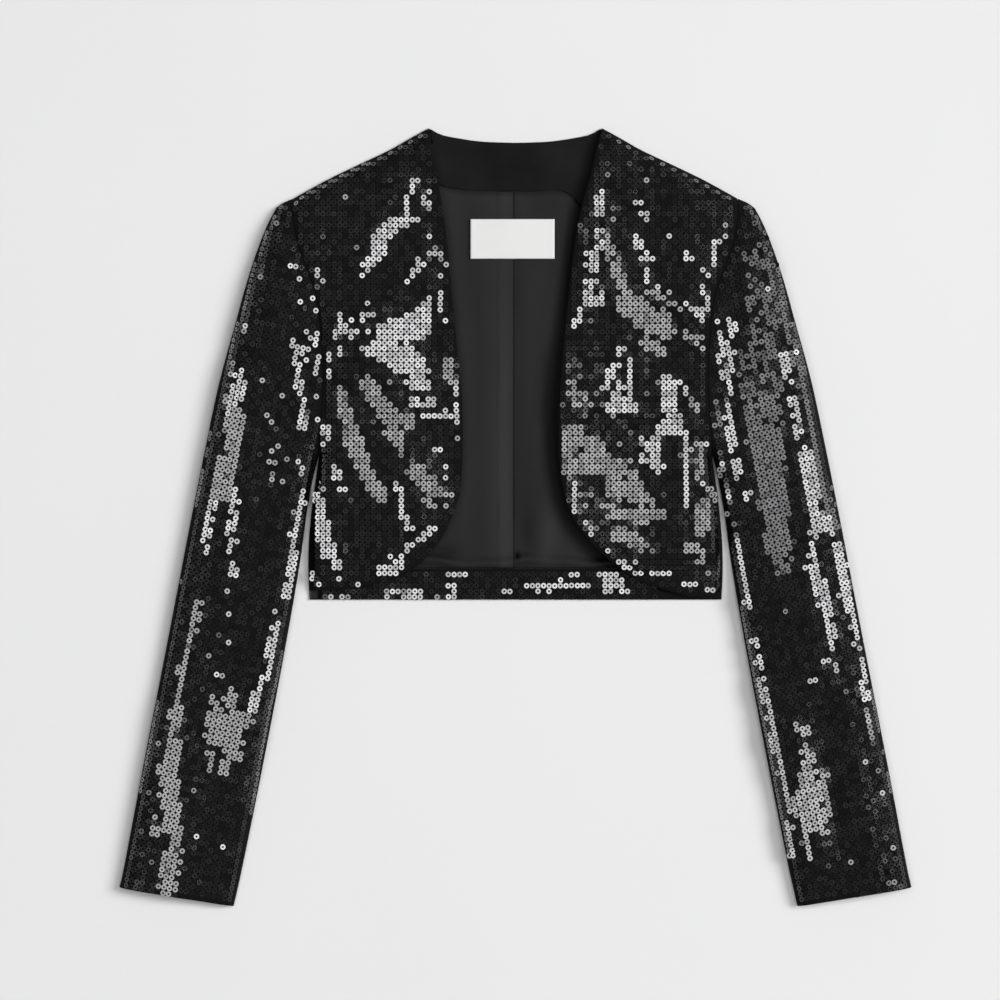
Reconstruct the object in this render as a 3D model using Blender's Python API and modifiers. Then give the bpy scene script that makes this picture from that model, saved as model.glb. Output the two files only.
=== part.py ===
"""A cropped, open-fronted bolero jacket in sequined cloth, laid flat on a table, face up.

Lengths in the tables are millimetres and the model is in metres. +Y runs to the neck, +Z up from
the table, and +X to the wearer's left. The outlines are those of one half, with x measured outward
from the centre back, and each side of the jacket takes them with its own sign.
"""

from collections import namedtuple

import bmesh
import bpy
import numpy as np

MM = 0.001

# Cloth thicknesses and the gap at a seam
CLOTH = 1.6
LINING = 1.0
FACING = 1.2
TURN_UP = 1.4
LABEL = 1.0
GAP = 0.3
SEAM = 0.5

# Driving sizes of the jacket
NECK_HALF = 76.1
NECK_TOP = 342.0
NECK_DROP = 13.0
SHOULDER_HALF = 195.4
SHOULDER_DROP = 62.0
CAP_DROP = 8.5
ARMPIT_X = 172.9
ARMPIT_Y = 54.6
HEM_HALF = 181.3
HEM_Y = -72.6
HEM_DEPTH = 27.0
CUFF_Y = -342.0
CUFF_INNER = 247.6
CUFF_OUTER = 348.3
CUFF_RISE = 16.6

# Heights above the table
RIM = 2 * CLOTH + GAP
INSIDE = CLOTH + GAP
OVER_LINING = 1.8
SEAM_CROWN = 16.0
EDGE_LIFT = 5.0
GROOVE = 1.2

# How far in from an edge or a seam the cloth takes to rise
SEAM_REACH = 25.0
FREE_REACH = 100.0
SEAM_OVER, SLEEVE_OVER, FRONT_OVER = 9.0, 15.0, 7.0
SEAM_SIDE, SLEEVE_SIDE = 8.0, 4.0
HEM_REACH = 22.0
HEM_SHARE = 0.12
LIFT_RUN, LIFT_FADE = 6.0, 20.0
GROOVE_WIDTH, GROOVE_RUN = 4.0, 8.0

# How softly a fold ends, and how it fades towards a seam
END = 18.0
FRONT_FADE, SLEEVE_FADE = 40.0, 25.0

# How far under the fronts the inside pieces stop from the seams
INSET = 8.0
UNDER_FACING = 0.9
PLEAT = 10.0
PLEAT_EDGE = -0.9
PLEAT_STEP = LINING + GAP
PLEAT_RUN = 8.0
ROLL, ROLL_UP, ROLL_WIDTH = 2.4, 6.0, 4.5
STEP_RUN = 5.0
FOLD_CLEAR = 0.9
LABEL_LEFT, LABEL_RIGHT = -39.6, 34.3
LABEL_LOW, LABEL_HIGH = 227.0, 261.8

# Each row of an outline is x, y
SHOULDER_LINE = (
    (NECK_HALF, NECK_TOP),
    (91.5, 333.5),
    (110.0, 323.0),
    (137.0, 310.2),
    (165.0, 296.7),
    (181.0, 288.0),
    (SHOULDER_HALF, NECK_TOP - SHOULDER_DROP),
)
CAP_LINE = (
    (SHOULDER_HALF, NECK_TOP - SHOULDER_DROP),
    (204.0, 276.2),
    (210.5, NECK_TOP - SHOULDER_DROP - CAP_DROP),
)
SLEEVE_OUTER = (
    (210.5, NECK_TOP - SHOULDER_DROP - CAP_DROP),
    (216.0, 261.5),
    (223.7, 243.8),
    (235.7, 208.6),
    (245.5, 173.4),
    (260.0, 120.6),
    (271.4, 67.8),
    (285.5, -2.6),
    (305.8, -108.2),
    (326.5, -213.8),
    (346.2, -317.0),
    (CUFF_OUTER, CUFF_Y + CUFF_RISE),
)
ARMHOLE = (
    (SHOULDER_HALF, NECK_TOP - SHOULDER_DROP),
    (195.0, 266.0),
    (191.8, 243.8),
    (186.1, 226.2),
    (179.3, 208.6),
    (174.0, 191.0),
    (170.6, 160.0),
    (168.8, 125.0),
    (170.0, 95.0),
    (172.3, 67.0),
    (ARMPIT_X, ARMPIT_Y),
)
SLEEVE_INNER = (
    (ARMPIT_X, ARMPIT_Y),
    (178.3, 32.0),
    (183.0, 6.0),
    (189.0, -37.8),
    (201.0, -108.2),
    (221.0, -213.8),
    (241.9, -317.0),
    (CUFF_INNER, CUFF_Y),
)
SIDE_SEAM = (
    (ARMPIT_X, ARMPIT_Y),
    (176.0, 32.6),
    (179.5, 6.2),
    (182.0, -22.0),
    (182.4, -50.0),
    (HEM_HALF, HEM_Y),
)
NECKLINE = (
    (NECK_HALF, NECK_TOP),
    (66.5, 336.6),
    (50.0, 333.0),
    (30.0, 330.2),
    (0.0, NECK_TOP - NECK_DROP),
)
FREE_EDGE = {
    "left": (
        (NECK_HALF, NECK_TOP),
        (74.0, 334.0),
        (70.8, 323.0),
        (66.5, 305.0),
        (61.2, 287.0),
        (55.0, 261.4),
        (49.7, 226.2),
        (45.6, 191.0),
        (41.8, 155.8),
        (37.8, 103.0),
        (36.6, 72.0),
        (38.3, 41.4),
        (46.2, 6.2),
        (55.9, -11.4),
        (71.7, -29.0),
        (90.7, -44.9),
        (107.8, -56.0),
        (128.9, -63.3),
        (150.0, -69.6),
    ),
    "right": (
        (NECK_HALF, NECK_TOP),
        (74.4, 334.0),
        (73.8, 322.0),
        (69.3, 305.4),
        (66.0, 283.0),
        (61.2, 252.6),
        (58.2, 223.0),
        (55.4, 191.0),
        (50.8, 145.0),
        (47.2, 108.0),
        (46.2, 65.0),
        (48.6, 24.0),
        (54.1, 5.0),
        (61.5, -13.0),
        (72.2, -28.0),
        (85.4, -42.5),
        (110.0, -54.5),
        (134.0, -60.6),
        (152.0, -64.2),
    ),
}
FRONT_CORNER_Y = {"left": HEM_Y + 0.3, "right": HEM_Y + 8.0}

# Lower edge of the neck facing and, past its end, the top of the lining
FACING_EDGE = (
    (0.0, 286.6),
    (14.0, 286.5),
    (49.0, 288.3),
    (66.0, 291.7),
    (97.0, 303.0),
)
LINING_SHOULDER = (
    FACING_EDGE[-1],
    (114.0, 310.5),
    (150.0, 293.0),
    (SHOULDER_HALF - INSET, 273.0),
)

# Heights of the crown of a sleeve and of a front, from the shoulder down
Crown = namedtuple("Crown", "y height")
SLEEVE_CROWN = (
    Crown(280.0, 15.0),
    Crown(120.0, 17.0),
    Crown(-60.0, 16.0),
    Crown(-200.0, 14.0),
    Crown(CUFF_Y, 11.0),
)
FRONT_CROWN = (
    Crown(NECK_TOP, 10.0),
    Crown(200.0, 11.0),
    Crown(60.0, 12.0),
    Crown(HEM_Y, 10.0),
)

# The largest folds: where each crest starts and ends, how far it slopes down on the side of the
# centre front (near) and on the outer side (far), and its height
Fold = namedtuple("Fold", "x0 y0 x1 y1 near far height")
FOLDS = {
    "front_left": (
        Fold(86.0, 290.0, 80.0, 190.0, 10.0, 28.0, 3.0),
        Fold(115.0, 245.0, 152.0, 165.0, 24.0, 50.0, 4.5),
        Fold(80.0, 146.0, 78.0, 98.0, 45.0, 12.0, 6.5),
        Fold(126.0, 112.0, 108.0, 50.0, 15.0, 12.0, 4.5),
        Fold(98.0, 62.0, 126.0, -25.0, 32.0, 45.0, 6.5),
        Fold(144.0, 80.0, 145.0, 10.0, 15.0, 5.0, 1.5),
    ),
    "front_right": (
        Fold(100.0, 288.0, 138.0, 228.0, 11.0, 32.0, 4.0),
        Fold(144.0, 162.0, 108.0, 105.0, 24.0, 50.0, 7.0),
        Fold(100.0, 108.0, 84.0, 78.0, 13.0, 12.0, 2.5),
        Fold(142.0, 115.0, 112.0, 25.0, 26.0, 12.0, 3.0),
        Fold(100.0, 60.0, 85.0, 5.0, 22.0, 32.0, 2.5),
        Fold(62.0, 140.0, 60.0, 90.0, 5.0, 20.0, 1.2),
    ),
    "sleeve_left": (Fold(222.0, 150.0, 262.0, -60.0, 13.0, 13.0, 2.0),),
    "sleeve_right": (Fold(222.0, 150.0, 262.0, -60.0, 13.0, 13.0, 2.0),),
}

SIGN = {"left": 1.0, "right": -1.0}


def smooth(rows, count):
    """Points at even steps along a smooth curve through the rows."""
    knots = np.array(rows, float)
    chord = np.linalg.norm(np.diff(knots, axis=0), axis=1) ** 0.5
    place = np.concatenate([[0.0], np.cumsum(chord)])
    slopes = np.gradient(knots, place, axis=0)
    fine = np.linspace(0.0, place[-1], 400)
    i = np.clip(np.searchsorted(place, fine, side="right") - 1, 0, len(chord) - 1)
    step = chord[i][:, None]
    u = (fine - place[i])[:, None] / step
    line = (
        knots[i] * (1 + 2 * u) * (1 - u) ** 2
        + slopes[i] * step * u * (1 - u) ** 2
        + knots[i + 1] * u**2 * (3 - 2 * u)
        + slopes[i + 1] * step * u**2 * (u - 1)
    )
    return spaced(line, np.linspace(0.0, 1.0, count))


def spaced(line, shares):
    """Points of a line at the given shares of its length."""
    steps = np.linalg.norm(np.diff(line, axis=0), axis=1)
    run = np.concatenate([[0.0], np.cumsum(steps)])
    return np.stack([np.interp(shares * run[-1], run, line[:, k]) for k in (0, 1)], axis=1)


def joined(*lines):
    """One line from several that meet end to end."""
    return np.concatenate([lines[0]] + [line[1:] for line in lines[1:]])


def reach(x, y, line):
    """Distance from each point to a line."""
    best = np.full(np.shape(x), np.inf)
    for (ax, ay), (bx, by) in zip(line[:-1], line[1:]):
        dx, dy = bx - ax, by - ay
        t = np.clip(((x - ax) * dx + (y - ay) * dy) / (dx * dx + dy * dy), 0, 1)
        best = np.minimum(best, np.hypot(x - ax - t * dx, y - ay - t * dy))
    return best


def rise(d, width):
    """0 at an edge, rising steeply and then levelling towards 1."""
    return 1 - np.exp(-np.maximum(d, 0) / width)


def ramp(d, width):
    """0 at an edge and 1 past width, with a soft start and end."""
    u = np.clip(d / width, 0, 1)
    return u * u * (3 - 2 * u)


def mix(a, b, share):
    return a + (b - a) * share


def crown_at(y, rows):
    return np.interp(y, [r.y for r in reversed(rows)], [r.height for r in reversed(rows)])


LINES = {
    "over": joined(smooth(SHOULDER_LINE, 30), smooth(CAP_LINE, 6), smooth(SLEEVE_OUTER, 50)),
    "armhole": smooth(ARMHOLE, 40),
    "inner": smooth(SLEEVE_INNER, 40),
    "side": smooth(SIDE_SEAM, 20),
    "left": smooth(FREE_EDGE["left"], 60),
    "right": smooth(FREE_EDGE["right"], 60),
}


def fold_height(x, y, folds):
    """Sum of the long soft ridges and troughs."""
    total = np.zeros(np.shape(x))
    for f in folds:
        dx, dy = f.x1 - f.x0, f.y1 - f.y0
        length = np.hypot(dx, dy)
        along = ((x - f.x0) * dx + (y - f.y0) * dy) / length
        across = ((y - f.y0) * dx - (x - f.x0) * dy) / length
        past = np.maximum(np.maximum(-along, along - length), 0)
        width = np.where(across > 0, f.far, f.near)
        total += f.height * np.exp(-((across / width) ** 2 + (past / END) ** 2) / 2)
    return total


def sleeve_height(x, y, side):
    """Height of a top sleeve's outer surface: it meets the front's at the armhole seam."""
    over = reach(x, y, LINES["over"])
    inner = reach(x, y, LINES["inner"])
    seam = reach(x, y, LINES["armhole"])
    edge = np.minimum(over, inner)
    away = rise(seam, SEAM_REACH)
    crown = mix(SEAM_CROWN, crown_at(y, SLEEVE_CROWN), away)
    body = rise(over, mix(SEAM_OVER, SLEEVE_OVER, away)) * rise(inner, mix(SEAM_SIDE, SLEEVE_SIDE, away))
    lift = OVER_LINING * ramp(edge, LIFT_RUN) * np.exp(-seam / LIFT_FADE)
    folds = fold_height(x, y, FOLDS["sleeve_" + side]) * ramp(seam, SLEEVE_FADE)
    folds = folds * rise(over, SEAM_SIDE) * rise(inner, SLEEVE_SIDE)
    groove = GROOVE * np.exp(-((seam / GROOVE_WIDTH) ** 2)) * ramp(edge, GROOVE_RUN)
    return RIM + lift + crown * body + folds - groove


def front_height(x, y, side):
    """Height of a front's outer surface, from its seams to its free edge."""
    over = reach(x, y, LINES["over"])
    outer = reach(x, y, LINES["side"])
    seam = reach(x, y, LINES["armhole"])
    free = reach(x, y, LINES[side])
    edge = np.minimum(over, outer)
    away = rise(seam, SEAM_REACH)
    swell = mix(EDGE_LIFT, crown_at(y, FRONT_CROWN), ramp(free, FREE_REACH))
    crown = mix(SEAM_CROWN, swell, away)
    low = mix(HEM_SHARE, 1.0, rise(y - HEM_Y, HEM_REACH))
    body = rise(over, mix(SEAM_OVER, FRONT_OVER, away)) * rise(outer, SEAM_SIDE) * low
    lift = OVER_LINING * ramp(edge, LIFT_RUN)
    folds = fold_height(x, y, FOLDS["front_" + side]) * ramp(seam, FRONT_FADE) * low
    folds = folds * rise(over, SEAM_SIDE) * rise(outer, SEAM_SIDE)
    groove = GROOVE * np.exp(-((seam / GROOVE_WIDTH) ** 2)) * ramp(edge, GROOVE_RUN)
    return RIM + lift + crown * body + folds - groove


def lining_height(x, y, side):
    """Top of the back lining: the wearer's right half lies over the left at the pleat."""
    from_roll = y - HEM_Y - HEM_DEPTH - ROLL_UP
    height = INSIDE + LINING + ROLL * np.exp(-((from_roll / ROLL_WIDTH) ** 2))
    if side == "right":
        height = height + PLEAT_STEP * ramp(PLEAT + PLEAT_RUN - x, STEP_RUN)
    return height


def label_height(x):
    """Top of the label, which follows the lining down the pleat's step; x runs to the wearer's left."""
    step = ramp(x + PLEAT + PLEAT_RUN + 1.0, STEP_RUN) * ramp(PLEAT_RUN - 2.0 - x, STEP_RUN)
    return INSIDE + LINING + GAP + LABEL + PLEAT_STEP * step


def patch(left, right, bottom, top, u, v):
    """Points of a Coons patch between four edges; u runs from left to right and v from bottom to top."""
    low, high = spaced(bottom, u), spaced(top, u)
    near, far = spaced(left, v), spaced(right, v)
    a, b = u[None, :, None], v[:, None, None]
    across = near[:, None] * (1 - a) + far[:, None] * a
    along = low[None] * (1 - b) + high[None] * b
    corners = (
        near[0] * (1 - a) * (1 - b) + far[0] * a * (1 - b) + near[-1] * (1 - a) * b + far[-1] * a * b
    )
    return across + along - corners


def spread(count, pull):
    """Shares from 0 to 1 that crowd towards both ends by the share that pull gives."""
    even = np.linspace(0.0, 1.0, count + 1)
    return (1 - pull) * even + pull * (0.5 - 0.5 * np.cos(np.pi * even))


def material(name, colour, roughness, metallic=0.0):
    made = bpy.data.materials.new(name)
    made.use_nodes = True
    shader = made.node_tree.nodes["Principled BSDF"]
    shader.inputs["Base Color"].default_value = (*colour, 1.0)
    shader.inputs["Roughness"].default_value = roughness
    shader.inputs["Metallic"].default_value = metallic
    made.diffuse_color = (*colour, 1.0)
    return made


def sheet(name, plan, height, sign, thickness, finish, home):
    """A wall of cloth: a grid laid on plan's points at the given heights, thickened downward."""
    rows, columns = plan.shape[:2]
    mesh = bpy.data.meshes.new(name)
    grid = bmesh.new()
    bmesh.ops.create_grid(grid, x_segments=columns - 1, y_segments=rows - 1, size=1.0)
    for vertex in grid.verts:
        column = round((vertex.co.x + 1) / 2 * (columns - 1))
        row = round((vertex.co.y + 1) / 2 * (rows - 1))
        x, y = plan[row, column]
        vertex.co = (sign * x * MM, y * MM, height[row, column] * MM)
    if sign < 0:
        bmesh.ops.reverse_faces(grid, faces=grid.faces)
    grid.to_mesh(mesh)
    grid.free()
    mesh.shade_smooth()
    piece = bpy.data.objects.new(name, mesh)
    piece.data.materials.append(finish)
    home.objects.link(piece)
    wall = piece.modifiers.new("Wall", "SOLIDIFY")
    wall.thickness = thickness * MM
    wall.offset = -1.0
    return piece


def plate(name, outline, low, thickness, finish, home):
    """A flat piece of cloth: an outline filled and thickened upward from low."""
    curve = bpy.data.curves.new(name, "CURVE")
    curve.dimensions = "2D"
    curve.fill_mode = "BOTH"
    curve.extrude = thickness / 2 * MM
    spline = curve.splines.new("POLY")
    spline.points.add(len(outline) - 1)
    for point, (x, y) in zip(spline.points, outline):
        point.co = (x * MM, y * MM, 0.0, 1.0)
    spline.use_cyclic_u = True
    piece = bpy.data.objects.new(name, curve)
    piece.location.z = (low + thickness / 2) * MM
    curve.materials.append(finish)
    home.objects.link(piece)
    return piece


def mirrored(half):
    """A closed outline from one half, which starts and ends on the centre line or beside it."""
    other = half[::-1] * (-1.0, 1.0)
    return np.concatenate([half, other[np.abs(other[:, 0]) > 0.01]])


def shifted(line, x, y=0.0):
    return line + np.array([x, y])


def back(cloth, home):
    half = joined(
        smooth(NECKLINE, 8)[::-1],
        smooth(SHOULDER_LINE, 7),
        shifted(smooth(ARMHOLE, 15), -SEAM / 2),
        shifted(smooth(SIDE_SEAM, 8), -SEAM / 2),
        np.array([[HEM_HALF, HEM_Y], [0.0, HEM_Y]]),
    )
    return plate("back", mirrored(half), 0.0, CLOTH, cloth, home)


def front(side, cloth, home):
    free = LINES[side][::-1]
    outer = joined(LINES["armhole"], LINES["side"])[::-1]
    outer = shifted(outer, -SEAM / 2)
    outer = outer[outer[:, 1] > FRONT_CORNER_Y[side] + 1.0]
    corner = np.array([[HEM_HALF - SEAM / 2, FRONT_CORNER_Y[side]]])
    outer = np.concatenate([corner, outer])
    hem = np.stack([free[0], outer[0]])
    shoulder = smooth(SHOULDER_LINE, 30)
    shoulder[-1] = outer[-1]
    plan = patch(free, outer, hem, shoulder, spread(15, 0.6), spread(34, 0.45))
    height = front_height(plan[..., 0], plan[..., 1], side)
    return sheet("front_" + side, plan, height, SIGN[side], CLOTH, cloth, home)


def sleeve_top(side, cloth, home):
    inner = shifted(joined(LINES["armhole"], LINES["inner"])[::-1], SEAM / 2)
    outer = smooth(SLEEVE_OUTER, 50)[::-1]
    cuff = np.stack([inner[0], outer[0]])
    cap = smooth(CAP_LINE, 6)
    cap[0] = inner[-1]
    plan = patch(inner, outer, cuff, cap, spread(12, 0.7), spread(30, 0.2))
    height = sleeve_height(plan[..., 0], plan[..., 1], side)
    return sheet("sleeve_top_" + side, plan, height, SIGN[side], CLOTH, cloth, home)


def sleeve_under(side, cloth, home):
    inner = shifted(joined(smooth(ARMHOLE, 15), smooth(SLEEVE_INNER, 10)), SEAM / 2)
    outer = joined(smooth(CAP_LINE, 3), smooth(SLEEVE_OUTER, 16))[::-1]
    outline = np.concatenate([inner, outer[:-1]]) * (SIGN[side], 1.0)
    return plate("sleeve_under_" + side, outline, 0.0, CLOTH, cloth, home)


def neck_facing(cloth, home):
    neck = smooth(NECKLINE, 8)[1:][::-1]
    end = np.array([[73.0, 334.5], [78.0, 331.5], [104.0, 318.0], FACING_EDGE[-1]])
    low = smooth(FACING_EDGE, 8)[::-1]
    half = joined(shifted(neck, 0.0, -0.8), np.concatenate([neck[-1:], end]), low)
    return plate("neck_facing", mirrored(half), INSIDE, FACING, cloth, home)


def lining(side, satin, home):
    fold_y = HEM_Y + HEM_DEPTH + FOLD_CLEAR
    middle = {"left": PLEAT_EDGE - PLEAT, "right": -PLEAT_EDGE}[side]
    inner = np.array([[middle, fold_y], [middle, FACING_EDGE[0][1] - UNDER_FACING]])
    outer = shifted(joined(LINES["armhole"], LINES["side"])[::-1], -INSET)
    top = joined(smooth(FACING_EDGE, 8), np.array(LINING_SHOULDER))
    top = shifted(top[top[:, 0] > middle + 1.0], 0.0, -UNDER_FACING)
    top = np.concatenate([inner[-1:], top])
    outer = outer[(outer[:, 1] > fold_y + 1.0) & (outer[:, 1] < top[-1, 1] - 1.0)]
    outer = np.concatenate([[[HEM_HALF - INSET, fold_y]], outer, top[-1:]])
    low = np.stack([inner[0], outer[0]])
    columns = np.concatenate([[0.0, 0.04, 0.075, 0.1], np.linspace(0.2, 1.0, 7)])
    plan = patch(inner, outer, low, top, columns, spread(20, 0.3))
    height = lining_height(plan[..., 0], plan[..., 1], side)
    return sheet("lining_back_" + side, plan, height, SIGN[side], LINING, satin, home)


def hem_facing(cloth, home):
    side = HEM_HALF - INSET
    half = np.array(
        [[0.0, HEM_Y + HEM_DEPTH], [side, HEM_Y + HEM_DEPTH], [side, HEM_Y + 0.6], [0.0, HEM_Y + 0.6]]
    )
    return plate("hem_facing", mirrored(half), INSIDE, TURN_UP, cloth, home)


def label(weave, home):
    x = np.linspace(LABEL_LEFT, LABEL_RIGHT, 25)
    y = np.array([LABEL_LOW, LABEL_HIGH])
    plan = np.stack(np.meshgrid(x, y), axis=-1)
    return sheet("label", plan, label_height(plan[..., 0]), 1.0, LABEL, weave, home)


def main():
    for old in list(bpy.data.objects):
        bpy.data.objects.remove(old, do_unlink=True)
    home = bpy.data.collections.new("bolero_jacket")
    bpy.context.scene.collection.children.link(home)
    back(material("back_sequins", (0.012, 0.012, 0.013), 0.3), home)
    neck_facing(material("facing_black", (0.01, 0.01, 0.011), 0.85), home)
    hem_facing(material("hem_sequins", (0.012, 0.012, 0.013), 0.3), home)
    label(material("label_white", (0.75, 0.75, 0.76), 0.7), home)
    for side in ("left", "right"):
        front(side, material("front_sequins_" + side, (0.012, 0.012, 0.013), 0.3), home)
        sleeve_top(side, material("sleeve_sequins_" + side, (0.012, 0.012, 0.013), 0.3), home)
        sleeve_under(side, material("under_sequins_" + side, (0.012, 0.012, 0.013), 0.3), home)
        lining(side, material("lining_satin_" + side, (0.045, 0.045, 0.048), 0.4), home)


main()
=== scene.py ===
"""The looks of a cropped, open-fronted bolero jacket in sequined cloth, laid flat, face up.

Lengths are millimetres until a mesh is made, and then metres. +Y runs to the neck, +Z up from the
table, and +X to the wearer's left. The outlines are those of one half, with x measured outward
from the centre back, and each side of the jacket takes them with its own sign.
"""

from collections import namedtuple

import bmesh
import bpy
import numpy as np
from mathutils import Matrix, Vector


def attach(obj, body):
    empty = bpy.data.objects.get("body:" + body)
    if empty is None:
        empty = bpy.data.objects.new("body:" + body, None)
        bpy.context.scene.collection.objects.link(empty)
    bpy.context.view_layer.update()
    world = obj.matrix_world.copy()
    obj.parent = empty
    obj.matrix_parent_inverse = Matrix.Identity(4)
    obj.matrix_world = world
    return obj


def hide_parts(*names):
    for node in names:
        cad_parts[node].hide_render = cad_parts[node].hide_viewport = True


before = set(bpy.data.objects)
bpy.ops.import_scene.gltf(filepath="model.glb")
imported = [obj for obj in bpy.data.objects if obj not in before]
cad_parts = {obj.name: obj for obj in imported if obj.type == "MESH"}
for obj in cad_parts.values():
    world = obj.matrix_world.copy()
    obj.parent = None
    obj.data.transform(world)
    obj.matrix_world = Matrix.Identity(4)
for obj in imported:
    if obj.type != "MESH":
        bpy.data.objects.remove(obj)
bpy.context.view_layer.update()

MM = 0.001
SIDES = ("left", "right")
SIGN = {"left": 1.0, "right": -1.0}

# Cloth thicknesses and the gap at a seam
CLOTH = 1.6
LINING = 1.0
FACING = 1.2
TURN_UP = 1.4
LABEL = 1.0
GAP = 0.3
SEAM = 0.5

# Driving sizes of the jacket
NECK_HALF = 76.1
NECK_TOP = 342.0
NECK_DROP = 13.0
SHOULDER_HALF = 195.4
SHOULDER_DROP = 62.0
CAP_DROP = 8.5
ARMPIT_X = 172.9
ARMPIT_Y = 54.6
HEM_HALF = 181.3
HEM_Y = -72.6
HEM_DEPTH = 27.0
CUFF_Y = -342.0
CUFF_INNER = 247.6
CUFF_OUTER = 348.3
CUFF_RISE = 16.6

# Heights above the table
RIM = 2 * CLOTH + GAP
INSIDE = CLOTH + GAP
OVER_LINING = 1.8
SEAM_CROWN = 13.4
EDGE_LIFT = 7.0
GROOVE = 1.2
FOLD_MID = 1.9
UNDER = 0.5

# How far in from an edge or a seam the cloth takes to rise
SEAM_REACH = 25.0
FREE_REACH = 120.0
SEAM_OVER, SLEEVE_OVER, FRONT_OVER = 9.0, 15.0, 7.0
ROUND, ROUND_SHARE = 8.0, 0.45
SEAM_SIDE, SLEEVE_SIDE = 6.5, 4.0
HEM_REACH = 22.0
HEM_SHARE = 0.12
LIFT_RUN, LIFT_FADE = 6.0, 20.0
GROOVE_WIDTH, GROOVE_RUN = 4.0, 8.0
TURN = 2.2
SLEEVE_MEETS = 0.3
EDGE_TURN, EDGE_ROLL, SEWN_ROLL = 1.6, 1.3, 0.5

# How softly a fold ends, and how it fades towards a seam
END = 10.0
CREST = 3.0
FRONT_FADE, SLEEVE_FADE = 25.0, 25.0

# Inside pieces
INSET = 8.0
UNDER_FACING = 0.9
PLEAT = 10.0
PLEAT_EDGE = -0.9
PLEAT_STEP = LINING + GAP
MIDDLE = {"left": PLEAT_EDGE - PLEAT, "right": -PLEAT_EDGE}
PLEAT_RUN = 8.0
# Half width of the band of faces along the pleat's edge that take the black suiting, as painted shade
PLEAT_EDGE_PAINTED_REACH = 1.1
ROLL, ROLL_UP, ROLL_WIDTH = 2.4, 6.0, 4.5
STEP_RUN = 5.0
FOLD_CLEAR = 0.9
LABEL_LEFT, LABEL_RIGHT = -39.6, 34.3
LABEL_LOW, LABEL_HIGH = 227.0, 261.8
LABEL_RIM, LABEL_SPAN = 4.0, 30.0
LABEL_LIFT = 0.7

# Sequins: flat rings sewn in a square lattice
PITCH = 4.92
RING = 2.42
HOLE = 0.96
RING_SIDES = 14
UNDER_SIDES = 12
LIFTED = 0.6
CLEAR = 0.05
PROUD = 0.35
UNDER_CLEAR = 0.1
SCATTER = 0.12
TILT, UNDER_TILT = 0.018, 0.006

# How each panel's rows of sequins are laid: their lean in degrees, a place that a sequin takes, and
# how far inside the edge they stop
Lattice = namedtuple("Lattice", "lean x y margin")
LATTICE = {
    "back": Lattice(0.0, 0.0, 0.0, 2.6),
    "hem": Lattice(0.0, 0.0, HEM_Y + 2.4, 1.0),
    "front_left": Lattice(0.0, 110.0, 0.0, 3.0),
    "front_right": Lattice(0.0, 110.0, 0.0, 1.6),
    "sleeve_left": Lattice(11.0, 250.0, 0.0, 2.1),
    "sleeve_right": Lattice(11.0, 250.0, 0.0, 2.1),
}

# Thickness of each kind of shell
SHELL = {
    "front": 1.2,
    "sleeve": 0.9,
    "back": 0.7,
    "turn_up": 0.8,
    "facing": 0.8,
    "satin": 0.6,
    "label": 0.6,
}

# Points of a sleeve's two halves that lie closer than this become one
WELD = 0.02

# Strip lights over the table: how far each leans from overhead towards +X and +Y in degrees, its
# distance, half width and half length, and its brightness against the brightest
Strip = namedtuple("Strip", "lean_x lean_y distance half_width half_length share")
STRIPS = (
    Strip(-31.0, 0.0, 6000.0, 480.0, 3000.0, 1.0),
    Strip(-16.0, 0.0, 6000.0, 540.0, 3000.0, 0.58),
    Strip(23.0, 0.0, 6000.0, 700.0, 3000.0, 1.0),
)
STRIP_RADIANCE = 3.5

# The key light: its lean towards +X and +Y, and its distance, width, length and radiance
KEY = (50.0, 9.0, 14.0, 5.2, 5.2, 19.35)

# Brightness of the room's walls, and of what is overhead
WALLS = (0.3, 0.06)

# Half the floor's width, in metres
FLOOR = 8.0

# Where the shoulder seam and the sleeve's cap end
SHOULDER_END = (SHOULDER_HALF, NECK_TOP - SHOULDER_DROP)
CAP_END = (210.5, NECK_TOP - SHOULDER_DROP - CAP_DROP)

# Each row of an outline is x, y
SHOULDER_LINE = (
    (NECK_HALF, NECK_TOP),
    (91.5, 333.5),
    (110, 323),
    (137, 310.2),
    (165, 296.7),
    (181, 288),
    SHOULDER_END,
)
CAP_LINE = (
    SHOULDER_END,
    (204, 276.2),
    CAP_END,
)
SLEEVE_OUTER = (
    CAP_END,
    (216, 261.5),
    (223.7, 243.8),
    (235.7, 208.6),
    (245.5, 173.4),
    (260, 120.6),
    (271.4, 67.8),
    (285.5, -2.6),
    (305.8, -108.2),
    (326.5, -213.8),
    (346.2, -317),
    (CUFF_OUTER, CUFF_Y + CUFF_RISE),
)
ARMHOLE = (
    SHOULDER_END,
    (195, 266),
    (191.8, 243.8),
    (186.1, 226.2),
    (179.3, 208.6),
    (174, 191),
    (170.6, 160),
    (168.8, 125),
    (170, 95),
    (172.3, 67),
    (ARMPIT_X, ARMPIT_Y),
)
SLEEVE_INNER = (
    (ARMPIT_X, ARMPIT_Y),
    (178.3, 32),
    (183, 6),
    (189, -37.8),
    (201, -108.2),
    (221, -213.8),
    (241.9, -317),
    (CUFF_INNER, CUFF_Y),
)
SIDE_SEAM = (
    (ARMPIT_X, ARMPIT_Y),
    (176, 32.6),
    (179.5, 6.2),
    (182, -22),
    (182.4, -50),
    (HEM_HALF, HEM_Y),
)
NECKLINE = (
    (NECK_HALF, NECK_TOP),
    (66.5, 336.6),
    (50, 333),
    (30, 330.2),
    (0, NECK_TOP - NECK_DROP),
)
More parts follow.
